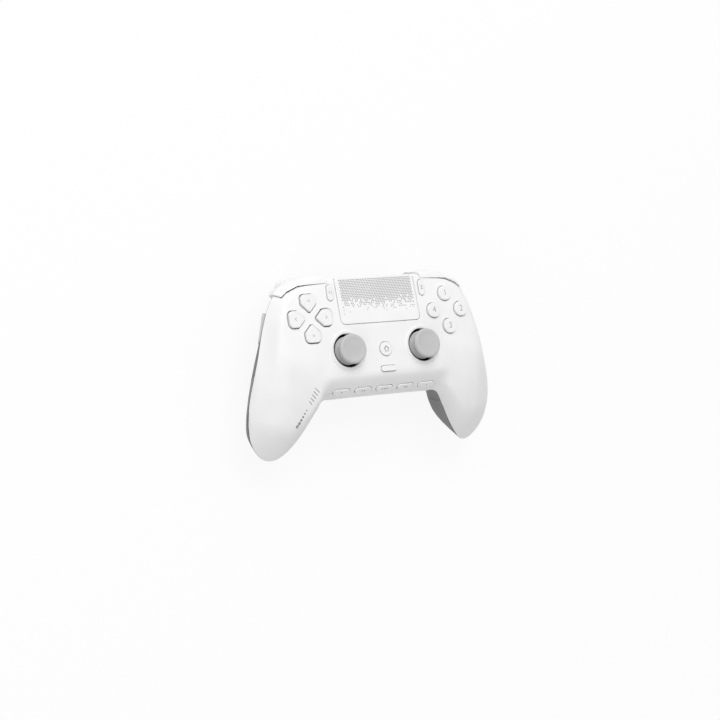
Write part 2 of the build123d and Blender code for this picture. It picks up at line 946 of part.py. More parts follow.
# Sticks
def module_outline(inset):
    half = module_half - inset
    flat = half - module_corner + (2 - math.sqrt(2)) * inset
    corners = [(half, flat), (flat, half)]
    corners += [(-x, y) for x, y in reversed(corners)]
    return corners + [(-x, -y) for x, y in corners]


def stick_module():
    can = prism(module_outline(0), board_top_z, module_top_z)
    hollow = prism(module_outline(module_wall), board_top_z - cut_overrun, module_top_z - module_lid)
    window = ngon(module_window, dome_sides, board_top_z, module_top_z + cut_overrun)
    reach = module_half + cut_overrun
    bearing = Pos(0, 0, stick_pivot_z) * slim_bore(yoke_pin_radius + pin_gap, -reach, reach)
    return can - hollow - window - bearing


def stick_yoke():
    ring = centred(yoke_length, yoke_width, yoke_height)
    ring -= centred(yoke_length - 2 * yoke_wall, yoke_width - 2 * yoke_wall, 2 * yoke_height)
    pin = slim_bar(yoke_pin_radius, (yoke_length - yoke_wall) / 2, module_half - yoke_end_gap)
    bearing = Rot(Z=90) * slim_bore(hub_pin_radius + pin_gap, -yoke_width, yoke_width)
    return Pos(0, 0, stick_pivot_z) * (ring.fuse(*both_sides(pin)) - bearing)


def stick_hub():
    core = centred(hub_size, hub_size, yoke_height)
    pin = Rot(Z=90) * slim_bar(hub_pin_radius, stem_radius + slide_gap, yoke_width / 2 - slide_gap)
    pins = [pin, mirror(pin, about=Plane.XZ)]
    bore = drum(stem_radius + slide_gap, -yoke_height, yoke_height, small_sides)
    return Pos(0, 0, stick_pivot_z) * (core.fuse(*pins) - bore)


def skirt_angle():
    return skirt_cover_angle + stick_tilt


def skirt_point(radius, angle):
    turn = math.radians(angle)
    return radius * math.sin(turn), stick_pivot_z + radius * math.cos(turn)


def stem_top_z():
    return skirt_point(skirt_radius - skirt_wall, skirt_top_angle)[1]


def stick_stem():
    shank = drum(stem_radius, stick_pivot_z - stem_end_depth, stem_top_z(), small_sides)
    low = stick_pivot_z + yoke_height / 2 + stick_press + stem_collar_gap
    return shank.fuse(drum(stem_collar_radius, low, stem_top_z(), small_sides))


def stick_cap():
    inner = skirt_radius - skirt_wall
    step = (skirt_angle() - skirt_top_angle) / skirt_steps
    lining = [skirt_point(inner, skirt_top_angle + index * step) for index in range(skirt_steps + 1)]
    neck_angle = math.degrees(math.asin(neck_radius / skirt_radius))
    step = (skirt_angle() - neck_angle) / skirt_steps
    dome = [skirt_point(skirt_radius, skirt_angle() - index * step) for index in range(skirt_steps + 1)]
    rim = [
        (neck_radius, cap_bottom_z),
        (cap_radius, cap_bottom_z + cap_lower_edge),
        (cap_radius, cap_top_z - cap_upper_edge),
        (cap_radius - cap_upper_edge, cap_top_z),
        (cap_dish_radius, cap_top_z),
        (0, cap_top_z - cap_dish_depth),
    ]
    return turned([(0, stem_top_z())] + lining + dome + rim)


# Direction pad
def dpad_foot_z():
    drop = dpad_foot_offset * math.tan(math.radians(dpad_tilt))
    return dome_top_z - face_height(pod_x, pod_y) + drop + dpad_foot_gap


def dpad():
    low = dpad_plate_z - dpad_plate_wall
    reach = dpad_reach - dpad_corner
    half = dpad_half_key + dpad_flange
    plate = block((-reach, -half, low), (reach, half, dpad_plate_z))
    plate = plate.fuse(block((-half, -reach, low), (half, reach, dpad_plate_z)))
    solids = dpad_key_solids(0, dpad_plate_z, dpad_rise)
    for sign in (-1, 1):
        middle = sign * dpad_lug_offset
        start = (-dpad_lug_half, middle - dpad_lug_wall / 2, dpad_pivot_z - dpad_lug_drop)
        solids.append(block(start, (dpad_lug_half, middle + dpad_lug_wall / 2, low)))
    for turn in (0, 90, 180, 270):
        start = (dpad_foot_offset - dpad_foot_half, -dpad_foot_half, dpad_foot_z())
        foot = block(start, (dpad_foot_offset + dpad_foot_half, dpad_foot_half, low))
        solids.append(Rot(Z=turn) * foot)
    bore = slim_bore(dpad_pin_radius + pin_gap, -dpad_reach, dpad_reach)
    bearing = Pos(0, 0, dpad_pivot_z) * Rot(Z=90) * bore
    room = block((-dpad_half_key, -dpad_half_key, dpad_pivot_z), (dpad_half_key, dpad_half_key, low))
    return one_solid(plate.fuse(*solids) - (bearing & (Pos(0, 0, dpad_pivot_z - low) * room + room)))


def dpad_pivot():
    across = slim_bar(dpad_pin_radius, -dpad_pin_reach, dpad_pin_reach)
    along = Rot(Z=90) * slim_bar(dpad_pin_radius, -dpad_cross_reach, dpad_cross_reach)
    return Pos(0, 0, dpad_pivot_z) * across.fuse(along)


# Buttons and keys
def face_button(height):
    rim = [
        (0, button_low),
        (button_radius, button_low),
        (button_radius, button_rise - button_edge),
        (button_radius - button_edge, button_rise),
        (0, button_rise),
    ]
    button = turned(rim)
    tab_end = (button_radius + button_flange, button_tab_width / 2, button_low + button_tab_height)
    tab = block((0, -button_tab_width / 2, button_low), tab_end)
    foot = dome_top_z + button_travel + button_foot_gap - height
    half = button_stem / 2
    stem = block((-half, -half, foot), (half, half, button_low))
    return button.fuse(*[Rot(Z=turn) * tab for turn in button_tab_angles], stem)


def small_key(cap, length, width, high, low, foot):
    collar = block((-length / 2, -width / 2, low), (length / 2, width / 2, high))
    half = small_stem / 2
    stem = block((-half, -half, foot), (half, half, low))
    return cap.fuse(collar, stem)


def board_foot(height):
    return board_top_z + switch_height + small_travel + small_foot_gap - height


def menu_button():
    cap = pill(menu_length, menu_width, small_collar_low, menu_rise)
    width = menu_width + 2 * small_flange
    foot = board_foot(face_height(menu_x, menu_y))
    return small_key(cap, menu_collar_length, width, small_collar_high, small_collar_low, foot)


def home_button():
    cap = drum(home_radius, small_collar_low, home_rise)
    size = 2 * (home_radius + small_flange)
    return small_key(cap, size, size, small_collar_high, small_collar_low, board_foot(0))


def mute_button():
    cap = pill(mute_length, mute_width, small_collar_low, mute_rise)
    length = mute_length + 2 * small_flange
    return small_key(cap, length, small_stem, small_collar_high, small_collar_low, board_foot(0))


def bottom_key():
    cap = pill(bottom_key_length, bottom_key_width, bottom_key_low, bottom_key_rise)
    foot = key_switch_height + small_travel + small_foot_gap - key_board_depth
    half = small_stem / 2
    return cap.fuse(block((-half, -half, foot), (half, half, bottom_key_low)))


# Touch surface
def touchpad():
    return touchpad_place() * Pos(0, 0, -touchpad_wall) * extrude(touchpad_outline(0), touchpad_wall)


def touchpad_board():
    half = touchpad_width / 2 - touchpad_board_margin
    low = -touchpad_wall - touchpad_board_wall
    start = (-half, touchpad_board_margin, low)
    return touchpad_place() * block(start, (half, touchpad_depth - touchpad_board_margin, -touchpad_wall))


# Boards, membranes and the frame that carries the buttons
def membrane_outline():
    half = membrane_size / 2
    corner = membrane_corner_share * half
    corners = [(half, corner), (corner, half)]
    corners += [(-x, y) for x, y in reversed(corners)]
    return corners + [(-x, -y) for x, y in corners]


def membrane(x, offset, windowed):
    top = frame_top_z + membrane_wall
    sheet = prism(membrane_outline(), frame_top_z, top)
    if windowed:
        start = (-membrane_window_x, -membrane_window_y, frame_top_z - membrane_wall)
        sheet -= block(start, (membrane_window_x, membrane_window_y, top + membrane_wall))
    dome = Pos(offset, 0, 0) * ngon(dome_radius, dome_sides, top, dome_top_z)
    return Pos(x, pod_y, 0) * sheet.fuse(*[Rot(Z=turn) * dome for turn in (0, 90, 180, 270)])


def frame_feet():
    feet = []
    for x in (-frame_foot_x, frame_foot_x):
        for y in (frame_foot_low_y, frame_foot_high_y):
            start = (x - frame_foot / 2, y - frame_foot / 2, board_top_z)
            feet.append(block(start, (x + frame_foot / 2, y + frame_foot / 2, frame_top_z - frame_wall)))
    return feet


def dpad_posts():
    height = face_height(pod_x, pod_y)
    posts = []
    for sign in (-1, 1):
        middle = sign * dpad_post_offset - pod_x
        start = (middle - dpad_lug_wall / 2, pod_y - dpad_lug_half, frame_top_z)
        end = (middle + dpad_lug_wall / 2, pod_y + dpad_lug_half, height + dpad_post_top)
        posts.append(block(start, end))
    return posts


def control_frame():
    low = frame_top_z - frame_wall
    plate = block((-frame_half_width, frame_low_y, low), (frame_half_width, frame_high_y, frame_top_z))
    plate = plate.fuse(*frame_feet(), *dpad_posts())
    half = module_half + frame_window_gap
    window = block((-half, -half, low - cut_overrun), (half, half, frame_top_z + cut_overrun))
    cuts = [place * window for place in stick_places().values()]
    notch = (-frame_notch_x, frame_low_y - cut_overrun, low - cut_overrun)
    cuts.append(block(notch, (frame_notch_x, frame_notch_y, frame_top_z + cut_overrun)))
    hole = drum(boss_radius + boss_gap, low - cut_overrun, frame_top_z + cut_overrun, small_sides)
    cuts += both_sides(Pos(upper_screw_x, upper_screw_y, 0) * hole)
    bearing = slim_bore(dpad_pin_radius + pin_gap, -dpad_reach, dpad_reach)
    cuts.append(dpad_place() * Pos(0, 0, dpad_pivot_z) * bearing)
    return one_solid(plate.cut(*cuts))


def main_board():
    low = board_top_z - board_wall
    board = block((-board_half_width, board_low_y, low), (board_half_width, board_high_y, board_top_z))
    half = switch_size / 2
    switch = block((-half, -half, board_top_z), (half, half, board_top_z + switch_height))
    spots = [(0, 0), (0, mute_y), (menu_x, menu_y), (-menu_x, menu_y)]
    return board.fuse(*[Pos(x, y, 0) * switch for x, y in spots])


def key_board():
    half_length = (bottom_key_count - 1) / 2 * bottom_key_pitch + small_stem
    half = key_board_width / 2
    place = bottom_key_places()[bottom_key_count // 2]
    low = -key_board_depth - key_board_wall
    strip = block((-half_length, -half, low), (half_length, half, -key_board_depth))
    size = switch_size / 2
    switch = block((-size, -size, -key_board_depth), (size, size, key_switch_height - key_board_depth))
    middle = (bottom_key_count - 1) / 2
    switches = [Pos((index - middle) * bottom_key_pitch, 0, 0) * switch for index in range(bottom_key_count)]
    return place * strip.fuse(*switches)


# Sockets
def usb_socket():
    half = usb_width / 2
    top = board_top_z + usb_height
    start_y = usb_mouth_y - usb_length
    shell = block((-half, start_y, board_top_z), (half, usb_mouth_y, top))
    inner = half - usb_wall
    room_start = (-inner, start_y + usb_back_wall, board_top_z + usb_wall)
    shell -= block(room_start, (inner, usb_mouth_y + cut_overrun, top - usb_wall))
    middle = board_top_z + usb_height / 2
    tongue_start = (-usb_tongue_half, start_y, middle - usb_tongue_wall / 2)
    tongue_end = (usb_tongue_half, usb_mouth_y - usb_back_wall, middle + usb_tongue_wall / 2)
    return shell.fuse(block(tongue_start, tongue_end))


def audio_jack():
    half = jack_body_width / 2
    front = jack_mouth_y + jack_collar_length
    low = jack_z - jack_body_height / 2
    body = block((-half, front, low), (half, front + jack_body_length, jack_z + jack_body_height / 2))
    pad_start = (-half, board_low_y + seat_gap, jack_z)
    pad = block(pad_start, (half, front + jack_body_length, board_top_z - board_wall))
    along = Pos(0, 0, jack_z) * Rot(X=90)
    collar = along * drum(jack_collar_radius, -front - cut_overrun, -jack_mouth_y)
    bore = along * rod(jack_bore_radius, -jack_mouth_y - jack_bore_length, -jack_mouth_y + cut_overrun)
    return body.fuse(pad, collar) - bore


# Battery and motors
def battery():
    half = battery_width / 2
    depth = battery_depth / 2
    low = battery_top_z - battery_height
    cell = block((-half, battery_y - depth, low), (half, battery_y + depth, battery_top_z))
    return chamfer(cell.edges().filter_by(Axis.Z), battery_edge)


def battery_tray():
    half = battery_width / 2 + tray_wall + slide_gap
    depth = battery_depth / 2 + tray_wall + slide_gap
    low = battery_top_z - battery_height - tray_wall
    tray = block((-half, battery_y - depth, low), (half, battery_y + depth, low + tray_wall + tray_rim))
    inner = half - tray_wall
    room_start = (-inner, battery_y - depth + tray_wall, low + tray_wall)
    tray -= block(room_start, (inner, battery_y + depth - tray_wall, battery_top_z))
    legs = []
    for y in (tray_leg_low_y, tray_leg_high_y):
        foot = surface_height(tray_leg_x, y - tray_leg / 2, False, back_wall) + seat_gap
        start = (tray_leg_x - tray_leg / 2, y - tray_leg / 2, foot)
        legs += both_sides(block(start, (tray_leg_x + tray_leg / 2, y + tray_leg / 2, low)))
    return tray.fuse(*legs)


def right_motor():
    end = motor_inner_x + motor_length
    can = Rot(Y=90) * drum(motor_radius, motor_inner_x, end)
    shaft = slim_bar(motor_shaft_radius, end, end + weight_gap + weight_length)
    return Pos(0, motor_y, motor_z) * can.fuse(shaft)


def right_weight():
    start = motor_inner_x + motor_length + weight_gap
    disc = Rot(Y=90) * drum(weight_radius, start, start + weight_length)
    lower_end = (start + weight_length, weight_radius, 2 * motor_shaft_radius)
    lower = block((start, -weight_radius, -weight_radius), lower_end)
    bore = slim_bore(motor_shaft_radius + pin_gap, start - cut_overrun, start + weight_length + cut_overrun)
    return Pos(0, motor_y, motor_z) * ((disc & lower) - bore)


# Rear paddles
def paddle_place(y):
    reach = paddle_tip_width / 2
    low, middle, high = [surface_height(paddle_root_x, y + step * reach, False) for step in (-1, 0, 1)]
    slope = math.degrees(math.atan((high - low) / (2 * reach)))
    return Pos(paddle_root_x, y, min(middle, (low + high) / 2)) * Rot(X=180 + slope)


def paddle(y):
    half = paddle_width / 2
    tip = paddle_tip_width / 2
    corner = half - tip
    outline = [
        (0, half),
        (0, -half),
        (paddle_length - corner, -half),
        (paddle_length, -tip),
        (paddle_length, tip),
        (paddle_length - corner, half),
    ]
    lift = paddle_length * math.tan(math.radians(paddle_swing)) + paddle_press_gap
    blade = prism(outline, lift, lift + paddle_wall)
    root = block((0, -tip, paddle_root_gap), (paddle_root_length, tip, lift))
    return paddle_place(y) * blade.fuse(root)


# Assembly
def pairs(name, solid):
    return {"left_" + name: mirror_x(solid), "right_" + name: solid}


def case_pieces():
    form = half_form(0, True, round_steps, flat_steps)
    back_form = half_form(0, False, round_steps, flat_steps)
    room = panel_room()
    pieces = {"front_shell": front_shell(form), "rear_shell": rear_shell(back_form, room)}
    pieces.update(pairs("grip_panel", one_solid(room & back_form)))
    pieces["case_screws"] = Compound(children=case_screws())
    return pieces


def control_pieces():
    pieces = {}
    parts = {
        "stick_module": stick_module(),
        "stick_yoke": stick_yoke(),
        "stick_hub": stick_hub(),
        "stick_stem": stick_stem(),
        "stick_cap": stick_cap(),
    }
    for side, place in stick_places().items():
        for name, solid in parts.items():
            pieces[side + "_" + name] = place * solid
    for name, place in face_button_places().items():
        pieces["face_button_" + name] = place * face_button(place.position.Z)
    for side, place in menu_places().items():
        pieces[side + "_menu_button"] = place * menu_button()
    for index, place in enumerate(bottom_key_places()):
        pieces["bottom_key_" + str(index + 1)] = place * bottom_key()
    pieces["dpad"] = dpad_place() * dpad()
    pieces["dpad_pivot"] = dpad_place() * dpad_pivot()
    pieces["home_button"] = home_button()
    pieces["mute_button"] = Pos(0, mute_y, 0) * mute_button()
    pieces["touchpad"] = touchpad()
    pieces["touchpad_board"] = touchpad_board()
    return pieces


def shoulder_pieces():
    pieces = pairs("bumper", right_bumper())
    pieces.update(pairs("trigger", right_trigger()))
    pieces.update(pairs("trigger_pin", trigger_pin()))
    pieces.update(pairs("trigger_spring", right_trigger_spring()))
    pieces.update(pairs("side_button", right_side_button()))
    for name, y in (("upper", paddle_high_y), ("lower", paddle_low_y)):
        pieces.update(pairs(name + "_paddle", paddle(y)))
    return pieces


def inner_pieces():
    pieces = {
        "control_frame": control_frame(),
        "dpad_membrane": membrane(-pod_x, dpad_foot_offset, True),
        "action_membrane": membrane(pod_x, button_offset, False),
        "main_board": main_board(),
        "key_board": key_board(),
        "usb_socket": usb_socket(),
        "audio_jack": audio_jack(),
        "battery": battery(),
        "battery_tray": battery_tray(),
    }
    pieces.update(pairs("rumble_motor", right_motor()))
    pieces.update(pairs("rumble_weight", right_weight()))
    return pieces


def lowest(angle, inner):
    turn = math.radians(angle)
    heights = []
    for row in parting_shares:
        for x, y, z in section(row, 0, False, round_steps, flat_steps):
            if (x < middle_half_width) == inner:
                heights.append(y * math.sin(turn) + z * math.cos(turn))
    return min(heights)


def rest_tilt():
    low, high = -45.0, 45.0
    for _ in range(40):
        middle = (low + high) / 2
        if lowest(middle, True) < lowest(middle, False):
            low = middle
        else:
            high = middle
    return (low + high) / 2


def ground_cut(floor):
    size = 2 * body_width
    return Pos(0, 0, floor + rest_flat - size / 2) * Box(size, size, size)


def rest_place(pieces):
    tilt = Rot(X=rest_tilt())
    floor = lowest(rest_tilt(), False)
    everything = Compound(children=[tilt * solid for solid in pieces.values()]).bounding_box()
    return Pos(0, -(everything.min.Y + everything.max.Y) / 2, -floor - rest_flat) * tilt


def all_pieces():
    pieces = case_pieces()
    pieces.update(control_pieces())
    pieces.update(shoulder_pieces())
    pieces.update(inner_pieces())
    return pieces


def finished():
    pieces = all_pieces()
    place = rest_place(pieces)
    done = {name: place * solid for name, solid in pieces.items()}
    for name in ("rear_shell", "left_grip_panel", "right_grip_panel"):
        done[name] = one_solid(done[name] - ground_cut(-rest_flat))
    return done


def main():
    os.makedirs("parts", exist_ok=True)
    for name, solid in finished().items():
        export_step(solid, "parts/" + name + ".step")


if __name__ == "__main__":
    main()
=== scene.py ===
import json
import math
import random
import bmesh
import bpy
from bpy.props import FloatProperty, FloatVectorProperty, IntProperty, PointerProperty
from mathutils import Matrix, Vector


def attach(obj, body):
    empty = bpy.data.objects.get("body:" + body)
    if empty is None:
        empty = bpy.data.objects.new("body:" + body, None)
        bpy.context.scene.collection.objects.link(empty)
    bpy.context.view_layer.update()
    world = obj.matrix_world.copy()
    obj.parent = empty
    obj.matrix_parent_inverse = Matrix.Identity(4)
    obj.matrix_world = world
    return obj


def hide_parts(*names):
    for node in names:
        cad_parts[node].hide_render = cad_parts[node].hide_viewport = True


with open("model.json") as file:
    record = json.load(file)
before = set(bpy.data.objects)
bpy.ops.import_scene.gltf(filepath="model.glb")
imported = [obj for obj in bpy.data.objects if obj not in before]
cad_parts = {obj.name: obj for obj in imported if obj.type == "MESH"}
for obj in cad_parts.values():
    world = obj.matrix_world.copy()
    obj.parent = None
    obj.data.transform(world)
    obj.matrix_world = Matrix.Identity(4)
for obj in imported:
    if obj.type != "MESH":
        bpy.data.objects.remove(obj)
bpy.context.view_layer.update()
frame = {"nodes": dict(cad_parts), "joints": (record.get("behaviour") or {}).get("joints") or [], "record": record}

bl_info = {
    "name": "Gamepad Dressing",
    "version": (1, 0, 0),
    "blender": (4, 5, 0),
    "location": "View3D > Sidebar > Gamepad",
    "description": "Smooth shells, rounded keys, marks and finishes for a gamepad controller",
    "category": "Object",
}

# Driving sizes, in millimetres like all sizes below that are not a property
MM = 0.001
IDENTITY = Matrix.Identity(4)
WIDTH, DEPTH, THICKNESS = 162.0, 97.0, 50.0
HALF = WIDTH / 2
FRONT_WALL, BACK_WALL, PANEL_WALL = 2.0, 2.4, 1.2

# Middles of the controls, measured on the face from the middle of the home button, and the slope of the bevel
# that carries the row of keys
STICK_X, STICK_Y, STICK_PIVOT = 25.0, 0.7, -8.2
POD_X, POD_Y, BUTTON_REACH = 46.1, 20.1, 9.7
MENU_X, MENU_Y = 30.9, 34.0
TOUCH_Y, TOUCH_Z, TOUCH_HALF, TOUCH_LENGTH, TOUCH_FALL = 15.5, 0.1, 26.4, 26.2, 1.2
MUTE_Y = -11.2
KEY_ROW_Y, KEY_PITCH, KEY_COUNT = -21.2, 14.3, 5
BEVEL_SLOPE = 1.28

# Radius, or length and width, of the controls, the height of their tops and feet, and the gaps round them
STICK_WELL = 9.5
BUTTON_RADIUS, BUTTON_TOP, BUTTON_FOOT, BUTTON_GAP = 4.3, 1.4, -3.8, 0.32
PAD_TOP, PAD_FOOT, PAD_GAP = 1.2, -3.6, 0.6
HOME_RADIUS, HOME_TOP = 4.0, 0.6
MENU_SIZE, MENU_TOP = (9.2, 3.9), 0.5
MUTE_SIZE, MUTE_TOP = (10.2, 3.2), 0.7
EDGE_KEY_SIZE, EDGE_KEY_TOP, EDGE_KEY_FOOT = (10.7, 3.9), 0.7, -2.4
KEY_FOOT, KEY_GAP = -3.2, 0.3
SIDE_SIZE, SIDE_TOP, SIDE_GAP, SIDE_DROP = (18.0, 5.2), 1.4, 0.35, 4.6

# Shoulders: where bumpers and triggers begin and end across the pad, and the heights that part them
BUMPER_INNER, BUMPER_OUTER, BUMPER_FLOOR, BUMPER_WALL = 31.3, 66.0, -12.6, 1.8
TRIGGER_INNER, TRIGGER_OUTER, TRIGGER_BACK, TRIGGER_TOP = 34.5, 56.0, 31.0, -13.1

# Paddles on the back: the middle of the root, the reach and half width of the blade, and the swing in degrees
PADDLE_X, PADDLE_REACH, PADDLE_HALF, PADDLE_SWING = 8.0, 24.0, 5.0, 2.2
PADDLE_LEVELS = (("upper", 1.0), ("lower", -12.0))

# Right-hand screws: x, y and the height at which their posts meet, and how far below it the heads sit
SCREWS = ((38.0, 3.0, -14.5), (60.0, -37.0, -29.0))
SCREW_SEAT = 4.0

# Reach of the cutters past the pad
ABOVE, BELOW = 40.0, -99.0

# How much thicker a shell is at its edge than in its wall
RIM_SHARE = 1.25

# Parting line between the shells: station along the half width, y and z of the lower and of the upper edge
# as shares of the depth and the thickness, and how far the front rounds over from each edge.
PARTING = (
    (0.000, -0.247, -0.310, 0.450, -0.180, 0.03, 0.05),
    (0.400, -0.249, -0.313, 0.450, -0.180, 0.04, 0.05),
    (0.480, -0.258, -0.285, 0.447, -0.180, 0.07, 0.06),
    (0.550, -0.334, -0.362, 0.437, -0.180, 0.11, 0.06),
    (0.620, -0.422, -0.450, 0.423, -0.180, 0.13, 0.07),
    (0.690, -0.493, -0.530, 0.402, -0.176, 0.15, 0.08),
    (0.760, -0.539, -0.603, 0.375, -0.170, 0.17, 0.15),
    (0.820, -0.549, -0.648, 0.304, -0.186, 0.20, 0.27),
    (0.880, -0.532, -0.650, 0.168, -0.228, 0.24, 0.42),
    (0.930, -0.497, -0.620, 0.016, -0.268, 0.30, 0.50),
    (0.965, -0.456, -0.580, -0.105, -0.336, 0.38, 0.46),
    (0.988, -0.410, -0.540, -0.195, -0.400, 0.42, 0.42),
    (1.000, -0.345, -0.495, -0.260, -0.435, 0.42, 0.42),
)

# Seams of the right grip panel and the right bumper, as shares of the half width and of the depth
PANEL_SEAM = ((0.37, -0.34), (0.57, -0.31), (0.77, -0.12), (1.05, -0.04), (1.05, -0.6), (0.37, -0.6))
SHOULDER_SEAM = ((0.386, 0.407), (0.617, 0.397), (0.704, 0.366), (0.744, 0.338), (0.827, 0.402))


def joint(name):
    return next(one for one in frame["joints"] if one["name"] == name)


# The face frame: the middle of the home button is its origin and its z axis leaves the face.
press_axis = Vector(joint("home_press")["axis"])
face_turn = Matrix.Rotation(math.atan2(press_axis.y, -press_axis.z), 4, "X")
stick_pivot = Vector((-STICK_X, STICK_Y, STICK_PIVOT)) * MM
face_shift = Vector(joint("left_stick_fore_aft")["pos_m"]) - face_turn @ stick_pivot
FACE = Matrix.Translation(face_shift) @ face_turn @ Matrix.Scale(MM, 4)


def length(name, description, default, smallest=0.0):
    return FloatProperty(
        name=name, description=description, default=default, min=smallest, unit="LENGTH", subtype="DISTANCE")


def power(name, description, default):
    return FloatProperty(name=name, description=description, default=default, min=0, unit="POWER")


def colour(name, description, default):
    return FloatVectorProperty(
        name=name, description=description, default=default, size=3, min=0, max=1, subtype="COLOR")


class PadForm(bpy.types.PropertyGroup):
    """Sizes of the fine details"""

    seam: length("Seam", "Gap that shows between the shells", 0.00022)
    hole_edge: length("Hole edge", "Break of the edge round each opening", 0.00022)
    key_edge: length("Key edge", "Rounding of the upper edge of the small keys", 0.00035)
    pad_edge: length("Direction pad edge", "Rounding of the upper edge of the direction keys", 0.00055)
    panel_groove: length("Panel groove", "Gap round the grip panels", 0.0003)
    trigger_edge: length("Trigger edge", "Rounding of the edges of the triggers", 0.0009)
    shoulder_edge: length("Bumper edge", "Rounding of the edges of the bumpers", 0.0003)
    dot_pitch: length("Dot pitch", "Distance between the dots of the touch surface", 0.00112, 0.0005)
    dot_size: length("Dot size", "Radius of a printed dot", 0.00038)
    dot_seed: IntProperty(
        name="Dot seed", description="Start of the order in which the dots thin out", default=11)
    print_lift: length("Print lift", "Height of the printed marks over the plastic", 0.00003)


class PadFinish(bpy.types.PropertyGroup):
    """Colours of the pad"""

    shell_white: colour("Shell", "Front shell", (0.86, 0.86, 0.865))
    key_white: colour("Keys", "Buttons, keys, bumpers and triggers", (0.85, 0.85, 0.855))
    touch_white: colour("Touch surface", "Touch surface", (0.86, 0.86, 0.865))
    rear_grey: colour("Rear shell", "Rear shell and paddles", (0.066, 0.067, 0.069))
    panel_grey: colour("Grip panels", "Textured grip panels", (0.22, 0.221, 0.225))
    cap_grey: colour("Stick caps", "Rubber of the stick caps", (0.51, 0.51, 0.512))
    side_grey: colour("Side buttons", "Side buttons", (0.62, 0.62, 0.63))
    mark_grey: colour("Grey marks", "Printed marks", (0.27, 0.27, 0.28))
    mark_violet: colour("Violet marks", "Marks on the middle keys", (0.25, 0.2, 0.62))
    inner_black: colour("Inner plastic", "Frames, tray and sockets", (0.025, 0.025, 0.028))
    steel: colour("Steel", "Pins, springs, motors and the charging socket", (0.55, 0.55, 0.56))
    screw_black: colour("Screws", "Blackened screws", (0.09, 0.09, 0.095))
    board_green: colour("Boards", "Circuit boards", (0.03, 0.12, 0.06))
    membrane_grey: colour("Membranes", "Rubber sheets under the buttons", (0.25, 0.25, 0.27))
    wrap_blue: colour("Battery", "Film round the battery", (0.10, 0.14, 0.26))


class PadStage(bpy.types.PropertyGroup):
    """Light, floor and camera"""

    key_power: power("Key light", "Large light beyond the pad", 12.6)
    fill_power: power("Fill light", "Weak light on the player's side", 3.3)
    sky_level: FloatProperty(
        name="Surround", description="Light that comes from all round", default=0.50, min=0)
    floor_shade: colour("Floor", "Floor", (0.9, 0.9, 0.9))
    floor_glow: FloatProperty(
        name="Floor glow", description="Share of the floor's picture that is plain white",
        default=0.90, min=0, max=1, subtype="FACTOR")
    focal_length: FloatProperty(
        name="Focal length", description="Focal length of the camera, in millimetres",
        default=88.04, min=10, unit="CAMERA")


# Shapes of the shells
def ramp(value, start, end):
    """A soft climb from 0 at the start to 1 at the end."""
    share = min(max((value - start) / (end - start), 0), 1)
    return share * share * (3 - 2 * share)


def soft_step(distance, softness):
    """Nothing before the bend, the distance itself past it, and a soft change between them."""
    return (math.hypot(distance, softness) + distance) / 2


def face_height(x, y):
    """The face: flat in the middle, lower at the sides, the far edge and the grips, steep near the player."""
    side_start, side_reach, side_fall = 30.0, 30.0, 1.0
    far_start, far_reach, far_fall = 20.0, 24.0, 1.5
    grip_reach, grip_fall, grip_bend = 43.0, 13.5, 1.7
    bevel_start, bevel_softness = -15.0, 1.6
    middle = 1 - ramp(abs(x), start=35.0, end=45.0)
    fall = side_fall * (max(abs(x) - side_start, 0) / side_reach) ** 2
    fall += far_fall * (max(y - far_start, 0) / far_reach) ** 2
    fall += (1 - middle) * grip_fall * (max(-y, 0) / grip_reach) ** grip_bend
    return -fall - middle * BEVEL_SLOPE * soft_step(bevel_start - y, bevel_softness)


def back_height(x, y):
    """The back: a flat arch behind the middle, and the grips at their full depth beside it."""
    arch_depth, arch_rise, arch_y, arch_reach = 40.5, 22.3, 20.0, 44.0
    grip_depth, grip_slope, grip_y, grip_softness = 52.5, 0.42, -30.0, 10.0
    grip = ramp(abs(x), start=30.0, end=60.0)
    middle_drop = arch_depth - arch_rise * ((y - arch_y) / arch_reach) ** 2
    grip_drop = grip_depth - grip_slope * soft_step(y - grip_y, grip_softness)
    return -middle_drop * (1 - grip) - grip_drop * grip


def between_rows(index, share):
    """A row of the parting line between two rows of its table, on a smooth curve through all of them."""
    before, start = PARTING[max(index - 1, 0)], PARTING[index]
    end, after = PARTING[index + 1], PARTING[min(index + 2, len(PARTING) - 1)]
    span = end[0] - start[0]
    mixed = [start[0] + share * span]
    for column in range(1, len(start)):
        slope_in = (end[column] - before[column]) / (end[0] - before[0]) * span
        slope_out = (after[column] - start[column]) / (after[0] - start[0]) * span
        rise = end[column] - start[column]
        bend = slope_in * share * (1 - share) ** 2 - slope_out * share**2 * (1 - share)
        mixed.append(start[column] + rise * share**2 * (3 - 2 * share) + bend)
    return tuple(mixed)


def parting_row(station):
    for index, (row, following) in enumerate(zip(PARTING, PARTING[1:])):
        if station <= following[0]:
            return between_rows(index, (station - row[0]) / (following[0] - row[0]))
    return PARTING[-1]


def stations(between):
    """Rows of the parting line from the left edge to the right one."""
    spans = range(len(PARTING) - 1)
    half = [between_rows(index, step / between) for index in spans for step in range(between)]
    half.append(PARTING[-1])
    return [(-row[0],) + row[1:] for row in reversed(half[1:])] + half


def swell(share, low_round, high_round, fullness):
    """How far a section stands off its chord: nothing at both ends and 1 between the round parts."""
    low = math.sin(math.pi / 2 * min(share / low_round, 1))
    high = math.sin(math.pi / 2 * min((1 - share) / high_round, 1))
    return (max(low, 0) * max(high, 0)) ** fullness


def side_swell(station, start, fullness):
    """How much of its height a section keeps towards the sides of the pad."""
    end_share = 0.97
    return math.cos(math.pi / 2 * end_share * max(abs(station) - start, 0) / (1 - start)) ** fullness


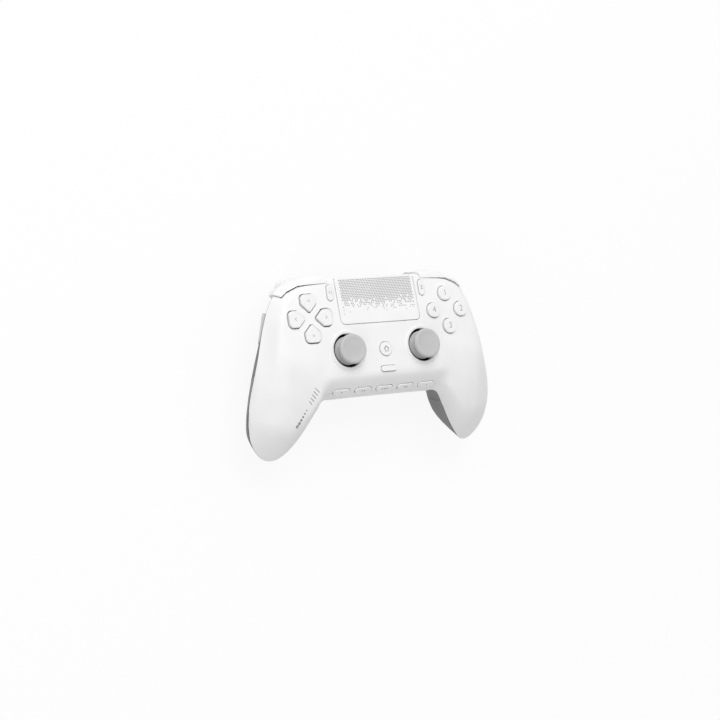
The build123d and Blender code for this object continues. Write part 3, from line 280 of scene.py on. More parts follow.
def ring_shares(low_round, high_round, corner, flat):
    quarter = [1 - math.cos(math.pi / 2 * step / corner) for step in range(corner + 1)]
    low = [low_round * turn for turn in quarter]
    middle = [low_round + (1 - low_round - high_round) * step / flat for step in range(1, flat)]
    return low + middle + [1 - high_round * turn for turn in reversed(quarter)]


def section(row, inset, front, corner=9, flat=30, lift=0.0):
    """A section of the front or the rear shell at one station, from its lower to its upper edge."""
    station, low_y, low_z, high_y, high_z, low_round, high_round = row
    if front:
        boxy, gain = 0.55, 0.35
        fullness = boxy + gain * ramp(abs(station), start=0.70, end=0.88)
        side = side_swell(station, start=0.76, fullness=0.70)
    else:
        low_round, gain = 0.28, 0.34
        high_round = low_round + gain * ramp(abs(station), start=0.60, end=0.85)
        fullness = 0.90
        side = side_swell(station, start=0.70, fullness=0.80)
    x = station * (HALF - inset)
    start_y, start_z, end_y, end_z = low_y * DEPTH, low_z * THICKNESS, high_y * DEPTH, high_z * THICKNESS
    slope = (end_z - start_z) / (end_y - start_y)
    rim = inset * RIM_SHARE
    points = []
    for share in ring_shares(low_round, high_round, corner, flat):
        y = start_y + rim + share * (end_y - start_y - 2 * rim)
        chord = start_z + slope * (y - start_y) + lift
        goal = face_height(x, y) - inset if front else back_height(x, y) + inset
        height = swell(share, low_round, high_round, fullness) * side * (goal - chord)
        points.append((x, y, chord + height))
    return points


def surface_height(x, y, front=True):
    points = section(parting_row(min(abs(x) / HALF, 1)), 0, front)
    for before, after in zip(points, points[1:]):
        if y <= after[1]:
            share = (y - before[1]) / (after[1] - before[1])
            return before[2] + share * (after[2] - before[2])
    return points[-1][2]


# Plain solids, each a list of points in millimetres and a list of faces
def stack(loops):
    """A closed solid through loops that all have the same number of points."""
    count = len(loops[0])
    points = [point for loop in loops for point in loop]
    faces = []
    for row in range(len(loops) - 1):
        for step in range(count):
            across = (step + 1) % count
            low = row * count
            faces.append((low + step, low + across, low + count + across, low + count + step))
    last = (len(loops) - 1) * count
    return points, faces + [tuple(reversed(range(count))), tuple(range(last, last + count))]


def half_form(inset, front, between=6, corner=9, flat=30, lift=0.0, overrun=0.0):
    """The front or the rear half of the pad, shrunk by a wall and drawn out past the parting line."""
    loops = []
    for row in stations(between):
        points = section(row, inset, front, corner, flat, lift)
        if overrun:
            shift = -overrun if front else overrun
            first, last = ((x, y, z + shift) for x, y, z in (points[0], points[-1]))
            points = [first] + points + [last]
        loops.append(points)
    return stack(loops)


def gather(*solids):
    points, faces = [], []
    for some_points, some_faces in solids:
        base = len(points)
        points += some_points
        faces += [tuple(base + corner for corner in face) for face in some_faces]
    return points, faces


def placed(place, solid):
    return [tuple(place @ Vector(point)) for point in solid[0]], solid[1]


def unchanged(solid):
    return solid


def mirrored(solid):
    return [(-x, y, z) for x, y, z in solid[0]], [tuple(reversed(face)) for face in solid[1]]


# The sides, and how a solid that is drawn for the right side is turned for each
HANDS = (("right", unchanged), ("left", mirrored))


def both(solid):
    return gather(solid, mirrored(solid))


def circle(radius, sides=72):
    turns = [2 * math.pi * step / sides for step in range(sides)]
    return [(radius * math.cos(turn), radius * math.sin(turn)) for turn in turns]


def stadium(size, grow=0.0, steps=14):
    """The outline of a key with two round ends."""
    span, width = size[0] - size[1], size[1] + 2 * grow
    points = []
    for side, start in ((1, -math.pi / 2), (-1, math.pi / 2)):
        for step in range(steps + 1):
            turn = start + math.pi * step / steps
            points.append((side * span / 2 + width / 2 * math.cos(turn), width / 2 * math.sin(turn)))
    return points


def rounded(corners, radii, steps=7):
    """An outline, anticlockwise, with an arc of its own radius at each corner."""
    points = []
    for index, (corner, radius) in enumerate(zip(corners, radii)):
        here = Vector(corner)
        back = (Vector(corners[index - 1]) - here).normalized()
        ahead = (Vector(corners[(index + 1) % len(corners)]) - here).normalized()
        half = back.angle(ahead) / 2
        start = here + back * (radius / math.tan(half))
        end = here + ahead * (radius / math.tan(half))
        middle = here + (back + ahead).normalized() * (radius / math.sin(half))
        from_turn = math.atan2(*(start - middle).yx)
        sweep = math.atan2(*(end - middle).yx) - from_turn
        sweep = (sweep + math.pi) % (2 * math.pi) - math.pi
        for step in range(steps + 1):
            turn = from_turn + sweep * step / steps
            points.append((middle.x + radius * math.cos(turn), middle.y + radius * math.sin(turn)))
    return points


def grown(outline, distance):
    points = []
    for index, here in enumerate(outline):
        back, ahead = outline[index - 1], outline[(index + 1) % len(outline)]
        first = Vector((here[1] - back[1], back[0] - here[0])).normalized()
        second = Vector((ahead[1] - here[1], here[0] - ahead[0])).normalized()
        push = (first + second) / max(1 + first.dot(second), 0.2)
        points.append((here[0] + push.x * distance, here[1] + push.y * distance))
    return points


def sheet(outline, z):
    return [(x, y, z) for x, y in outline], [tuple(range(len(outline)))]


def prism(outline, low, high):
    return stack([[(x, y, z) for x, y in outline] for z in (low, high)])


def cap(outline, low, high, edge, steps=5, foot=0.0):
    """A prism with its upper edge rounded."""
    loops = [[(x, y, low + foot) for x, y in outline]]
    if foot:
        loops.insert(0, [(x, y, low) for x, y in grown(outline, -foot)])
    for step in range(steps + 1):
        turn = math.pi / 2 * step / steps
        ring = grown(outline, edge * (math.cos(turn) - 1))
        loops.append([(x, y, high - edge * (1 - math.sin(turn))) for x, y in ring])
    return stack(loops)


def hole(outline, deep, edge):
    """A cutter that breaks the edge of the opening where it leaves the face."""
    reach, tall = 3 * edge, 6.0
    heights = ((-deep, 0), (-edge, 0), (reach - edge, reach), (tall, reach))
    return stack([[(x, y, z) for x, y in grown(outline, wide)] for z, wide in heights])


def lathe(profile, sides=96):
    """A turned solid from pairs of radius and height. The least radius leaves a tiny flat at its ends."""
    least = 0.02
    return stack([[(x, y, z) for x, y in circle(max(radius, least), sides)] for radius, z in profile])


def ring(profile, sides=96):
    """A turned ring from a closed profile of pairs of radius and height."""
    loops = [[(radius * x, radius * y, z) for radius, z in profile] for x, y in circle(1, sides)]
    count = len(profile)
    points = [point for loop in loops for point in loop]
    faces = []
    for turn in range(sides):
        here, ahead = turn * count, (turn + 1) % sides * count
        for step in range(count):
            across = (step + 1) % count
            faces.append((here + step, here + across, ahead + across, ahead + step))
    return points, faces


def box(start, end):
    (x, y, z), (u, v, w) = start, end
    return prism([(x, y), (u, y), (u, v), (x, v)], z, w)


def arc(middle, radius, start, end, steps=6):
    turns = [math.radians(start + (end - start) * step / steps) for step in range(steps + 1)]
    x, y = middle
    return [(x + radius * math.cos(turn), y + radius * math.sin(turn)) for turn in turns]


def at(x, y, z=0.0, turn_x=0.0, turn_z=0.0):
    tilt = Matrix.Rotation(math.radians(turn_x), 4, "X")
    return Matrix.Translation((x, y, z)) @ Matrix.Rotation(math.radians(turn_z), 4, "Z") @ tilt


# Pieces
def linked(name, data):
    made = bpy.data.objects.new(name, data)
    bpy.context.scene.collection.objects.link(made)
    return made


def piece(name, solid, place=IDENTITY):
    mesh = bpy.data.meshes.new(name)
    mesh.from_pydata([FACE @ place @ Vector(point) for point in solid[0]], [], solid[1])
    work = bmesh.new()
    work.from_mesh(mesh)
    bmesh.ops.remove_doubles(work, verts=work.verts, dist=1e-7)
    bmesh.ops.recalc_face_normals(work, faces=work.faces)
    work.to_mesh(mesh)
    work.free()
    return linked(name, mesh)


def bake(made):
    """Turns what the modifiers make into the piece's own mesh."""
    bpy.context.view_layer.update()
    graph = bpy.context.evaluated_depsgraph_get()
    mesh = bpy.data.meshes.new_from_object(made.evaluated_get(graph), depsgraph=graph)
    made.modifiers.clear()
    made.data = mesh


def carve(made, solid, operation="DIFFERENCE", careful=False):
    """Cuts a solid, or another piece, out of a piece, or keeps only what both share."""
    tool = solid if isinstance(solid, bpy.types.Object) else piece("tool", solid)
    carving = made.modifiers.new("carve", "BOOLEAN")
    carving.operation = operation
    carving.solver = "EXACT"
    carving.use_self = careful
    carving.object = tool
    bake(made)
    bpy.data.objects.remove(tool)
    if not made.data.polygons:
        raise RuntimeError(made.name + " was lost when it was carved")


def ease(made, width, angle):
    """Rounds the edges that are sharper than the angle, in degrees."""
    work = bmesh.new()
    work.from_mesh(made.data)
    bmesh.ops.remove_doubles(work, verts=work.verts, dist=2e-6)
    bmesh.ops.dissolve_limit(work, angle_limit=math.radians(0.5), verts=work.verts, edges=work.edges)
    joined = [edge for edge in work.edges if len(edge.link_faces) == 2]
    sharp = [edge for edge in joined if edge.calc_face_angle() > math.radians(angle)]
    bmesh.ops.bevel(
        work, geom=sharp, offset=width, segments=3, profile=0.6, affect="EDGES", clamp_overlap=True)
    work.to_mesh(made.data)
    work.free()
    return made


def from_node(node, name, width, angle, bend=None):
    """A piece from a node's own solid, bent point by point where asked, with its edges rounded."""
    mesh = frame["nodes"][node].data.copy()
    mesh.materials.clear()
    for extra in [one.name for one in mesh.attributes if one.name == "custom_normal"]:
        mesh.attributes.remove(mesh.attributes[extra])
    if bend:
        longest_edge, most_rounds = 1.6 * MM, 5
        work = bmesh.new()
        work.from_mesh(mesh)
        bmesh.ops.remove_doubles(work, verts=work.verts, dist=2e-6)
        for _ in range(most_rounds):
            wide = [edge for edge in work.edges if edge.calc_length() > longest_edge]
            if wide:
                bmesh.ops.subdivide_edges(work, edges=wide, cuts=1)
                bmesh.ops.triangulate(work, faces=work.faces)
        for vertex in work.verts:
            vertex.co = FACE @ bend(FACE.inverted() @ vertex.co)
        work.to_mesh(mesh)
        work.free()
    return ease(linked(name, mesh), width, angle)


def other_side(made, name):
    mesh = made.data.copy()
    for vertex in mesh.vertices:
        vertex.co.x = -vertex.co.x
    mesh.flip_normals()
    return linked(name, mesh)


def dress(made, finish, body, slot, *nodes, angle=32.0):
    """Gives a piece its finish and its body, and hides the nodes that it replaces; the slot is not used."""
    made.data.materials.clear()
    made.data.materials.append(material(finish))
    made.data.shade_smooth()
    made.data.set_sharp_from_angle(angle=math.radians(angle))
    even = made.modifiers.new("even", "WEIGHTED_NORMAL")
    even.keep_sharp = True
    bake(made)
    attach(made, body)
    if nodes:
        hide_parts(*nodes)


# Finishes: colour, how much it varies, roughness, grain size in millimetres and depth, metallic, pattern
FINISHES = {
    "case_white": ("shell_white", 0.02, 0.38, 0.5, 0.010, 0.0, None),
    "key_white": ("key_white", 0.015, 0.30, 0.4, 0.006, 0.0, None),
    "touch_white": ("touch_white", 0.015, 0.36, 0.35, 0.008, 0.0, None),
    "shoulder_white": ("key_white", 0.02, 0.32, 0.5, 0.008, 0.0, None),
    "rear_grey": ("rear_grey", 0.06, 0.42, 0.45, 0.014, 0.0, None),
    "panel_grey": ("panel_grey", 0.10, 0.62, 1.3, 0.10, 0.0, "studs"),
    "cap_grey": ("cap_grey", 0.04, 0.55, 0.3, 0.012, 0.0, None),
    "side_light_grey": ("side_grey", 0.03, 0.36, 0.5, 0.010, 0.0, None),
    "mark_grey": ("mark_grey", 0.05, 0.5, 0.3, 0.002, 0.0, None),
    "mark_violet": ("mark_violet", 0.05, 0.45, 0.3, 0.002, 0.0, None),
    "inner_black": ("inner_black", 0.10, 0.5, 0.8, 0.02, 0.0, None),
    "metal": ("steel", 0.08, 0.32, 0.25, 0.006, 1.0, "brushed"),
    "screw_steel": ("screw_black", 0.10, 0.36, 0.3, 0.008, 0.8, None),
    "board_green": ("board_green", 0.25, 0.35, 1.6, 0.01, 0.0, "tracks"),
    "membrane": ("membrane_grey", 0.06, 0.6, 0.6, 0.01, 0.0, None),
    "battery_wrap": ("wrap_blue", 0.08, 0.25, 3.0, 0.03, 0.0, None),
}

# Refraction of plastic, how far brushing stretches the grain, the size of the patches of tone in millimetres,
# and how much the roughness varies
REFRACTION = 1.46
BRUSH_STRETCH = (0.06, 1.0, 1.0)
PATCH_SIZE = 14
GLOSS_SPREAD = 0.12


def node_of(tree, kind, **values):
    """A node of a material with numbers on its sockets."""
    made = tree.nodes.new("ShaderNode" + kind)
    for socket, value in values.items():
        made.inputs[socket.replace("_", " ")].default_value = value
    return made


def material(name):
    title = name + "_finish"
    if title in bpy.data.materials:
        return bpy.data.materials[title]
    tint, vary, rough, grain, depth, metallic, pattern = FINISHES[name]
    base = getattr(bpy.context.scene.pad_finish, tint)
    made = bpy.data.materials.new(title)
    made.use_nodes = True
    tree = made.node_tree
    join = tree.links.new
    shader = tree.nodes["Principled BSDF"]
    shader.inputs["Metallic"].default_value = metallic
    shader.inputs["IOR"].default_value = REFRACTION
    place = node_of(tree, "TexCoord")
    source = place.outputs["Object"]
    if pattern == "brushed":
        stretch = node_of(tree, "Mapping", Scale=BRUSH_STRETCH)
        join(source, stretch.inputs["Vector"])
        source = stretch.outputs["Vector"]
    fine = node_of(tree, "TexNoise", Scale=1 / (grain * MM), Detail=3.0)
    join(source, fine.inputs["Vector"])
    height = fine.outputs["Fac"]
    if pattern in ("studs", "tracks"):
        order = 0.15 if pattern == "studs" else 1.0
        cells = node_of(tree, "TexVoronoi", Scale=1 / (grain * MM), Randomness=order)
        cells.distance = "MANHATTAN" if pattern == "tracks" else "EUCLIDEAN"
        join(source, cells.inputs["Vector"])
        height = cells.outputs["Distance"]
    strength = 0.6 if pattern == "studs" else 0.35
    bump = node_of(tree, "Bump", Strength=strength, Distance=depth * MM)
    bump.invert = pattern == "studs"
    join(height, bump.inputs["Height"])
    join(bump.outputs["Normal"], shader.inputs["Normal"])
    broad = node_of(tree, "TexNoise", Scale=1 / (PATCH_SIZE * MM), Detail=4.0)
    join(place.outputs["Object"], broad.inputs["Vector"])
    tone = node_of(tree, "ValToRGB")
    low, high = tone.color_ramp.elements
    low.position, high.position = 0.3, 0.7
    low.color = [max(part * (1 - vary), 0) for part in base] + [1]
    high.color = [min(part * (1 + vary), 1) for part in base] + [1]
    join(broad.outputs["Fac"] if pattern != "tracks" else height, tone.inputs["Fac"])
    join(tone.outputs["Color"], shader.inputs["Base Color"])
    gloss = node_of(
        tree, "MapRange", To_Min=rough * (1 - GLOSS_SPREAD), To_Max=min(rough * (1 + GLOSS_SPREAD), 1))
    join(fine.outputs["Fac"], gloss.inputs["Value"])
    join(gloss.outputs["Result"], shader.inputs["Roughness"])
    return made


# Places of the controls
def touch_place():
    return at(0, TOUCH_Y, TOUCH_Z, turn_x=math.degrees(math.atan(-TOUCH_FALL / TOUCH_LENGTH)))


def touch_outline(grow=0.0):
    near, far = 2.5, 0.4
    corners = [(-TOUCH_HALF, 0), (TOUCH_HALF, 0), (TOUCH_HALF, TOUCH_LENGTH), (-TOUCH_HALF, TOUCH_LENGTH)]
    outline = rounded(corners, (near, near, far, far))
    return grown(outline, grow) if grow else outline


def key_outline(grow=0.0):
    """The direction key on the right of its pad: a tip at the middle, shoulders and a flat outer side."""
    tip, shoulder, outer, half = 3.4, 8.1, 13.6, 4.7
    tip_round, shoulder_round, outer_round = 0.9, 1.4, 2.6
    corners = [(tip, 0), (shoulder, -half), (outer, -half), (outer, half), (shoulder, half)]
    outline = rounded(corners, (tip_round, shoulder_round, outer_round, outer_round, shoulder_round))
    return grown(outline, grow) if grow else outline


def quarters():
    return [at(0, 0, turn_z=90 * turn) for turn in range(4)]


def pod_places():
    reach = BUTTON_REACH
    turns = (("north", 0, reach), ("east", reach, 0), ("south", 0, -reach), ("west", -reach, 0))
    return {name: at(POD_X + x, POD_Y + y, face_height(POD_X + x, POD_Y + y)) for name, x, y in turns}


def dpad_place():
    return at(-POD_X, POD_Y, face_height(POD_X, POD_Y))


def key_places():
    slope = math.degrees(math.atan(BEVEL_SLOPE))
    middle = (KEY_COUNT - 1) / 2
    height = face_height(0, KEY_ROW_Y)
    return [at((index - middle) * KEY_PITCH, KEY_ROW_Y, height, turn_x=slope) for index in range(KEY_COUNT)]


def menu_places():
    height = face_height(MENU_X, MENU_Y)
    return {side: at(x, MENU_Y, height, turn_z=90) for side, x in (("left", -MENU_X), ("right", MENU_X))}


def stick_places():
    return {"left": at(-STICK_X, STICK_Y), "right": at(STICK_X, STICK_Y)}


def screw_places():
    return [(side * x, y, z) for x, y, z in SCREWS for side in (-1, 1)]


def seam_outline(grow):
    points = [(x * HALF, y * DEPTH) for x, y in SHOULDER_SEAM]
    points = [(points[0][0] - grow, points[0][1] - grow)] + [(x, y - grow) for x, y in points[1:]]
    points[-1] = (points[-1][0] + grow, points[-1][1] - grow)
    return points + [(points[-1][0], DEPTH), (points[0][0], DEPTH)]


def upper_pocket(grow):
    return both(prism(seam_outline(grow), TRIGGER_TOP - grow, ABOVE))


def lower_pocket(grow):
    start = (TRIGGER_INNER - grow, TRIGGER_BACK - grow, BELOW)
    return both(box(start, (TRIGGER_OUTER + grow, DEPTH, TRIGGER_TOP + grow)))


def side_place():
    """Where the right side button stands: below the parting line and square to the rear shell."""
    station, apart, steps = 0.868, 0.02, 50
    row, ahead, behind = (parting_row(share) for share in (station, station - apart, station + apart))
    x, y, z = row[0] * HALF, row[3] * DEPTH, row[4] * THICKNESS
    across = math.atan2((behind[3] - ahead[3]) * DEPTH, (behind[0] - ahead[0]) * HALF)
    outward = (-math.sin(across), math.cos(across))
    reach = 0.0
    while surface_height(x - reach * outward[0], y - reach * outward[1], False) > z - SIDE_DROP:
        reach += SIDE_DROP / steps
    turn_x = -90 - math.degrees(math.atan(reach / SIDE_DROP))
    x, y = x - reach * outward[0], y - reach * outward[1]
    return at(x, y, z - SIDE_DROP, turn_x=turn_x, turn_z=math.degrees(across))


def usb_opening():
    half, back, low, high = 4.75, 37.0, -12.3, -8.5
    return box((-half, back, low), (half, DEPTH, high))


# Shells
def front_openings(edge):
    """One cutter for all openings of the front shell, each with its places, outline and depth."""
    deep, shallow = 6.0, 4.0
    openings = (
        (stick_places().values(), circle(STICK_WELL), deep),
        ([dpad_place() @ turn for turn in quarters()], key_outline(PAD_GAP), deep),
        (pod_places().values(), circle(BUTTON_RADIUS + BUTTON_GAP), deep),
        (menu_places().values(), stadium(MENU_SIZE, KEY_GAP), deep),
        ([IDENTITY], circle(HOME_RADIUS + KEY_GAP), deep),
        ([at(0, MUTE_Y)], stadium(MUTE_SIZE, KEY_GAP), deep),
        (key_places(), stadium(EDGE_KEY_SIZE, KEY_GAP), shallow),
        ([touch_place()], touch_outline(KEY_GAP), deep),
    )
    return gather(*[placed(place, hole(*cut, edge)) for places, *cut in openings for place in places])


def flatten_rest(made):
    """Keeps the back above what the pad rests on."""
    for vertex in made.data.vertices:
        vertex.co.z = max(vertex.co.z, 0.0)


def hollow(front, wall):
    """The inside of a shell, cut back round the pockets of the bumpers and triggers."""
    pocket_wall = 2.0
    core = piece("core", half_form(wall, front, between=2, corner=5, flat=16, overrun=4.0))
    carve(core, upper_pocket(pocket_wall))
    carve(core, lower_pocket(pocket_wall))
    return core


def stick_rim():
    """The raised ring round a stick well, as radius and height."""
    outer, foot = 11.7, -2.6
    profile = [(STICK_WELL, foot), (outer, foot), (outer, -0.25), (11.4, 0.05)]
    profile += arc((10.85, 0.05), 0.55, 0, 90)[1:] + arc((9.95, 0.15), 0.45, 90, 180)
    return ring(profile)


# The camera, in metres and degrees, and the lamps: place, size and setting that holds the strength
CAMERA_PLACE = (-0.5438, 0.0287, 0.8741)
CAMERA_TURNS = (0.882, -32.364, -4.556)
LAMPS = (
    ("key_lamp", (-0.15, 0.95, 1.05), 1.1, "key_power"),
    ("fill_lamp", (-0.9, -0.45, 0.9), 1.2, "fill_power"),
)
FLOOR_REACH = 3.0
PLAIN_WHITE = (1, 1, 1, 1)


# The pieces of the scene
class PAD_OT_stage(bpy.types.Operator):
    """Camera, floor, lamps and surround"""

    bl_idname = "pad.stage"
    bl_label = "Stage"

    def execute(self, context):
        stage = context.scene.pad_stage
        camera = linked("camera", bpy.data.cameras.new("camera"))
        camera.location = CAMERA_PLACE
        camera.rotation_euler = [math.radians(turn) for turn in CAMERA_TURNS]
        camera.data.lens = stage.focal_length
        context.scene.camera = camera
        for name, place, size, setting in LAMPS:
            lamp = bpy.data.lights.new(name, "AREA")
            lamp.size = size
            lamp.energy = getattr(stage, setting)
            held = linked(name, lamp)
            held.location = place
            held.rotation_euler = Vector(place).to_track_quat("Z", "Y").to_euler()
        context.scene.world = surround(stage.sky_level)
        mesh = bpy.data.meshes.new("floor")
        corners = ((-1, -1), (1, -1), (1, 1), (-1, 1))
        mesh.from_pydata([(x * FLOOR_REACH, y * FLOOR_REACH, 0) for x, y in corners], [], [(0, 1, 2, 3)])
        mesh.materials.append(floor_material(stage.floor_shade, stage.floor_glow))
        linked("floor", mesh)
        context.scene.view_settings.view_transform = "Standard"
        return {"FINISHED"}


def seen_directly(tree):
    """1 for what the camera sees directly, in gloss or through clear pieces, and 0 for light on the pad."""
    path = tree.nodes.new("ShaderNodeLightPath")
    value = path.outputs["Is Camera Ray"]
    for name in ("Is Glossy Ray", "Is Transmission Ray"):
        larger = tree.nodes.new("ShaderNodeMath")
        larger.operation = "MAXIMUM"
        tree.links.new(value, larger.inputs[0])
        tree.links.new(path.outputs[name], larger.inputs[1])
        value = larger.outputs[0]
    return value


def mix_into(tree, share, first, second, end):
    mix = tree.nodes.new("ShaderNodeMixShader")
    tree.links.new(share, mix.inputs[0])
    tree.links.new(first.outputs[0], mix.inputs[1])
    tree.links.new(second.outputs[0], mix.inputs[2])
    tree.links.new(mix.outputs[0], tree.nodes[end].inputs["Surface"])


def surround(level):
    """A world that lights the pad weakly and is white where it is seen."""
    world = bpy.data.worlds.new("surround")
    world.use_nodes = True
    tree = world.node_tree
    dim = tree.nodes["Background"]
    dim.inputs["Color"].default_value = PLAIN_WHITE
    dim.inputs["Strength"].default_value = level
    bright = node_of(tree, "Background", Color=PLAIN_WHITE)
    mix_into(tree, seen_directly(tree), dim, bright, "World Output")
    return world


def floor_material(shade, glow_share):
    made = bpy.data.materials.new("floor_white")
    made.use_nodes = True
    tree = made.node_tree
    tree.nodes.remove(tree.nodes["Principled BSDF"])
    matt = node_of(tree, "BsdfDiffuse", Color=(*shade, 1))
    glow = node_of(tree, "Emission", Color=PLAIN_WHITE)
    part = tree.nodes.new("ShaderNodeMath")
    part.operation = "MULTIPLY"
    part.inputs[1].default_value = glow_share
    tree.links.new(seen_directly(tree), part.inputs[0])
    mix_into(tree, part.outputs[0], matt, glow, "Material Output")
    return made


class PAD_OT_front_shell(bpy.types.Operator):
    """Smooth front shell with its openings and the rims round the sticks"""

    bl_idname = "pad.front_shell"
    bl_label = "Front shell"

    def execute(self, context):
        form = context.scene.pad_form
        shell = piece("front_cover", half_form(0, True, lift=form.seam / MM / 2))
        carve(shell, hollow(True, FRONT_WALL))
        carve(shell, front_openings(form.hole_edge / MM))
        carve(shell, upper_pocket(0))
        carve(shell, gather(lower_pocket(0), usb_opening()))
        dress(shell, "case_white", "case", "case_white", "front_shell")
        for side, place in stick_places().items():
            dress(piece(side + "_stick_rim", stick_rim(), place), "case_white", "case", "case_white")
        return {"FINISHED"}


class PAD_OT_rear_shell(bpy.types.Operator):
    """Smooth rear shell with its sockets, screw holes and pockets"""

    bl_idname = "pad.rear_shell"
    bl_label = "Rear shell"

    def execute(self, context):
        form = context.scene.pad_form
        post_radius, head_radius, shank_radius = 3.3, 2.1, 1.1
        side_inner, side_outer = -5.5, 9.2
        jack_radius, jack_z = 3.0, -17.5
        core = hollow(False, BACK_WALL)
        posts = []
        holes = []
        for x, y, joint_z in screw_places():
            posts.append(placed(at(x, y), prism(circle(post_radius, sides=32), BELOW, joint_z)))
            seat = joint_z - SCREW_SEAT
            profile = [(head_radius, BELOW), (head_radius, seat), (shank_radius, seat)]
            holes.append(placed(at(x, y), lathe(profile + [(shank_radius, joint_z + 2.0)], sides=40)))
        carve(core, gather(*posts))
        shell = piece("rear_cover", half_form(0, False, lift=-form.seam / MM / 2))
        for _, turn in HANDS:
            carve(shell, panel_room(form.panel_groove / MM, PANEL_WALL, turn), careful=True)
        carve(shell, core)
        carve(shell, upper_pocket(0))
        carve(shell, lower_pocket(0))
        side_hole = placed(side_place(), prism(stadium(SIDE_SIZE, SIDE_GAP), side_inner, side_outer))
        jack = placed(at(0, 0, jack_z, turn_x=90), prism(circle(jack_radius), 0, DEPTH))
        carve(shell, gather(both(side_hole), usb_opening(), jack, *holes))
        flatten_rest(shell)
        dress(shell, "rear_grey", "case", "rear_grey", "rear_shell")
        return {"FINISHED"}


def below_parting(drop):
    """All that lies on the right, behind the parting line by the drop."""
    past, outer_station = 2, 1.06
    loops = []
    rows = [row for row in stations(3) if row[0] >= 0]
    for row in rows + [(outer_station,) + rows[-1][1:]]:
        x = row[0] * HALF
        start, end = row[1] * DEPTH, row[3] * DEPTH
        low, high = row[2] * THICKNESS - drop, row[4] * THICKNESS - drop
        extra = (high - low) / (end - start) * past
        edge = [(x, start - past, low - extra), (x, end + past, high + extra)]
        loops.append(edge + [(x, end + past, BELOW), (x, start - past, BELOW)])
    return stack(loops)


def panel_room(grow, wall, turn):
    """What a grip panel takes up, grown by a gap: a wall's depth under the back, inside its seam."""
    seam_drop = 1.0
    outline = [(x * HALF, y * DEPTH) for x, y in reversed(PANEL_SEAM)]
    room = piece("room", turn(prism(grown(outline, grow), BELOW, ABOVE)))
    carve(room, turn(below_parting(seam_drop - grow)), "INTERSECT")
    carve(room, half_form(wall, False, between=4, corner=7, flat=24, overrun=4.0))
    return room


class PAD_OT_grip_panels(bpy.types.Operator):
    """Textured grip panels let into the rear shell"""

    bl_idname = "pad.grip_panels"
    bl_label = "Grip panels"

    def execute(self, context):
        clear = 0.1
        for side, turn in HANDS:
            panel = piece(side + "_panel", half_form(0, False))
            carve(panel, panel_room(0.0, PANEL_WALL - clear, turn), "INTERSECT")
            flatten_rest(panel)
            dress(panel, "panel_grey", "case", "panel_grey", side + "_grip_panel")
        return {"FINISHED"}


def bumper_loop(x):
    """The front shell's own section, drawn out past its rim."""
    most, blunt, steps, start = 2.74, 0.08, 24, 24.0
    share = min(max((x - BUMPER_INNER) / (BUMPER_OUTER - BUMPER_INNER), 0), 1)
    hump = most * math.sin(math.pi * (blunt + (1 - 2 * blunt) * share)) ** 0.7
    rim_y = parting_row(x / HALF)[3] * DEPTH
    points = []
    for step in range(steps + 1):
        y = start + (rim_y - start) * math.sin(math.pi / 2 * step / steps)
        points.append((x, y + hump * ramp(y, start, rim_y), surface_height(x, y)))
    return points + [(x, rim_y + hump, BUMPER_FLOOR), (x, start, BUMPER_FLOOR)]


class PAD_OT_bumpers(bpy.types.Operator):
    """Bumpers on the shoulders, the right one a mirrored copy of the left one"""

    bl_idname = "pad.bumpers"
    bl_label = "Bumpers"

    def execute(self, context):
        form = context.scene.pad_form
        gap, tilt, steps, ceiling = 0.2, 1.5, 44, -6.9
        first, last = BUMPER_INNER - 1, BUMPER_OUTER + 1
        swing_x, swing_y = BUMPER_INNER + BUMPER_WALL, SHOULDER_SEAM[0][1] * DEPTH + BUMPER_WALL
        swing = at(swing_x, swing_y, turn_z=tilt) @ at(-swing_x, -swing_y)
        loops = [bumper_loop(first + (last - first) * step / steps) for step in range(steps + 1)]
        inner = [[(x, y - BUMPER_WALL, z) for x, y, z in loop] for loop in loops]
        room = placed(swing, prism(seam_outline(-gap), BUMPER_FLOOR, ABOVE))
        space = placed(swing, prism(seam_outline(-BUMPER_WALL), BUMPER_FLOOR - BUMPER_WALL, ceiling))
        bumper = piece("left_shoulder", mirrored(stack(loops)))
        carve(bumper, mirrored(room), "INTERSECT")
        hollowing = piece("hollowing", mirrored(space))
        carve(hollowing, mirrored(stack(inner)), "INTERSECT")
        carve(bumper, hollowing)
        ease(bumper, form.shoulder_edge, angle=50)
        for side, made in (("right", other_side(bumper, "right_shoulder")), ("left", bumper)):
            dress(made, "shoulder_white", side + "_bumper_body", "shoulder_white", side + "_bumper")
        return {"FINISHED"}


def rounded_corner(point):
    """Draws the outer corner of a trigger in, towards the grip and upwards."""
    inward_ahead, inward_below, backward, upward = 1.6, 3.6, 4.6, 1.2
    x, y, z = point
    outer = ramp(abs(x), start=41.0, end=56.5)
    ahead = outer * ramp(y, start=34.0, end=48.5)
    below = outer * ramp(-z, start=17.0, end=36.0)
    inward = math.copysign(inward_ahead * ahead + inward_below * below, x)
    return Vector((x - inward, y - backward * ahead * outer, z + upward * below))


class PAD_OT_triggers(bpy.types.Operator):
    """Triggers with rounded edges"""

    bl_idname = "pad.triggers"
    bl_label = "Triggers"

    def execute(self, context):
        width = context.scene.pad_form.trigger_edge
        for side in ("left", "right"):
            name = side + "_trigger"
            made = from_node(name, side + "_pull", width, angle=38, bend=rounded_corner)
            dress(made, "shoulder_white", name + "_body", "shoulder_white", name, angle=40)
        return {"FINISHED"}


def bowl(radius, turns):
    """Points on a ball about the middle of a stick's tilt, by their angles off its axis in degrees."""
    angles = [math.radians(turn) for turn in turns]
    return [(radius * math.sin(angle), STICK_PIVOT + radius * math.cos(angle)) for angle in angles]


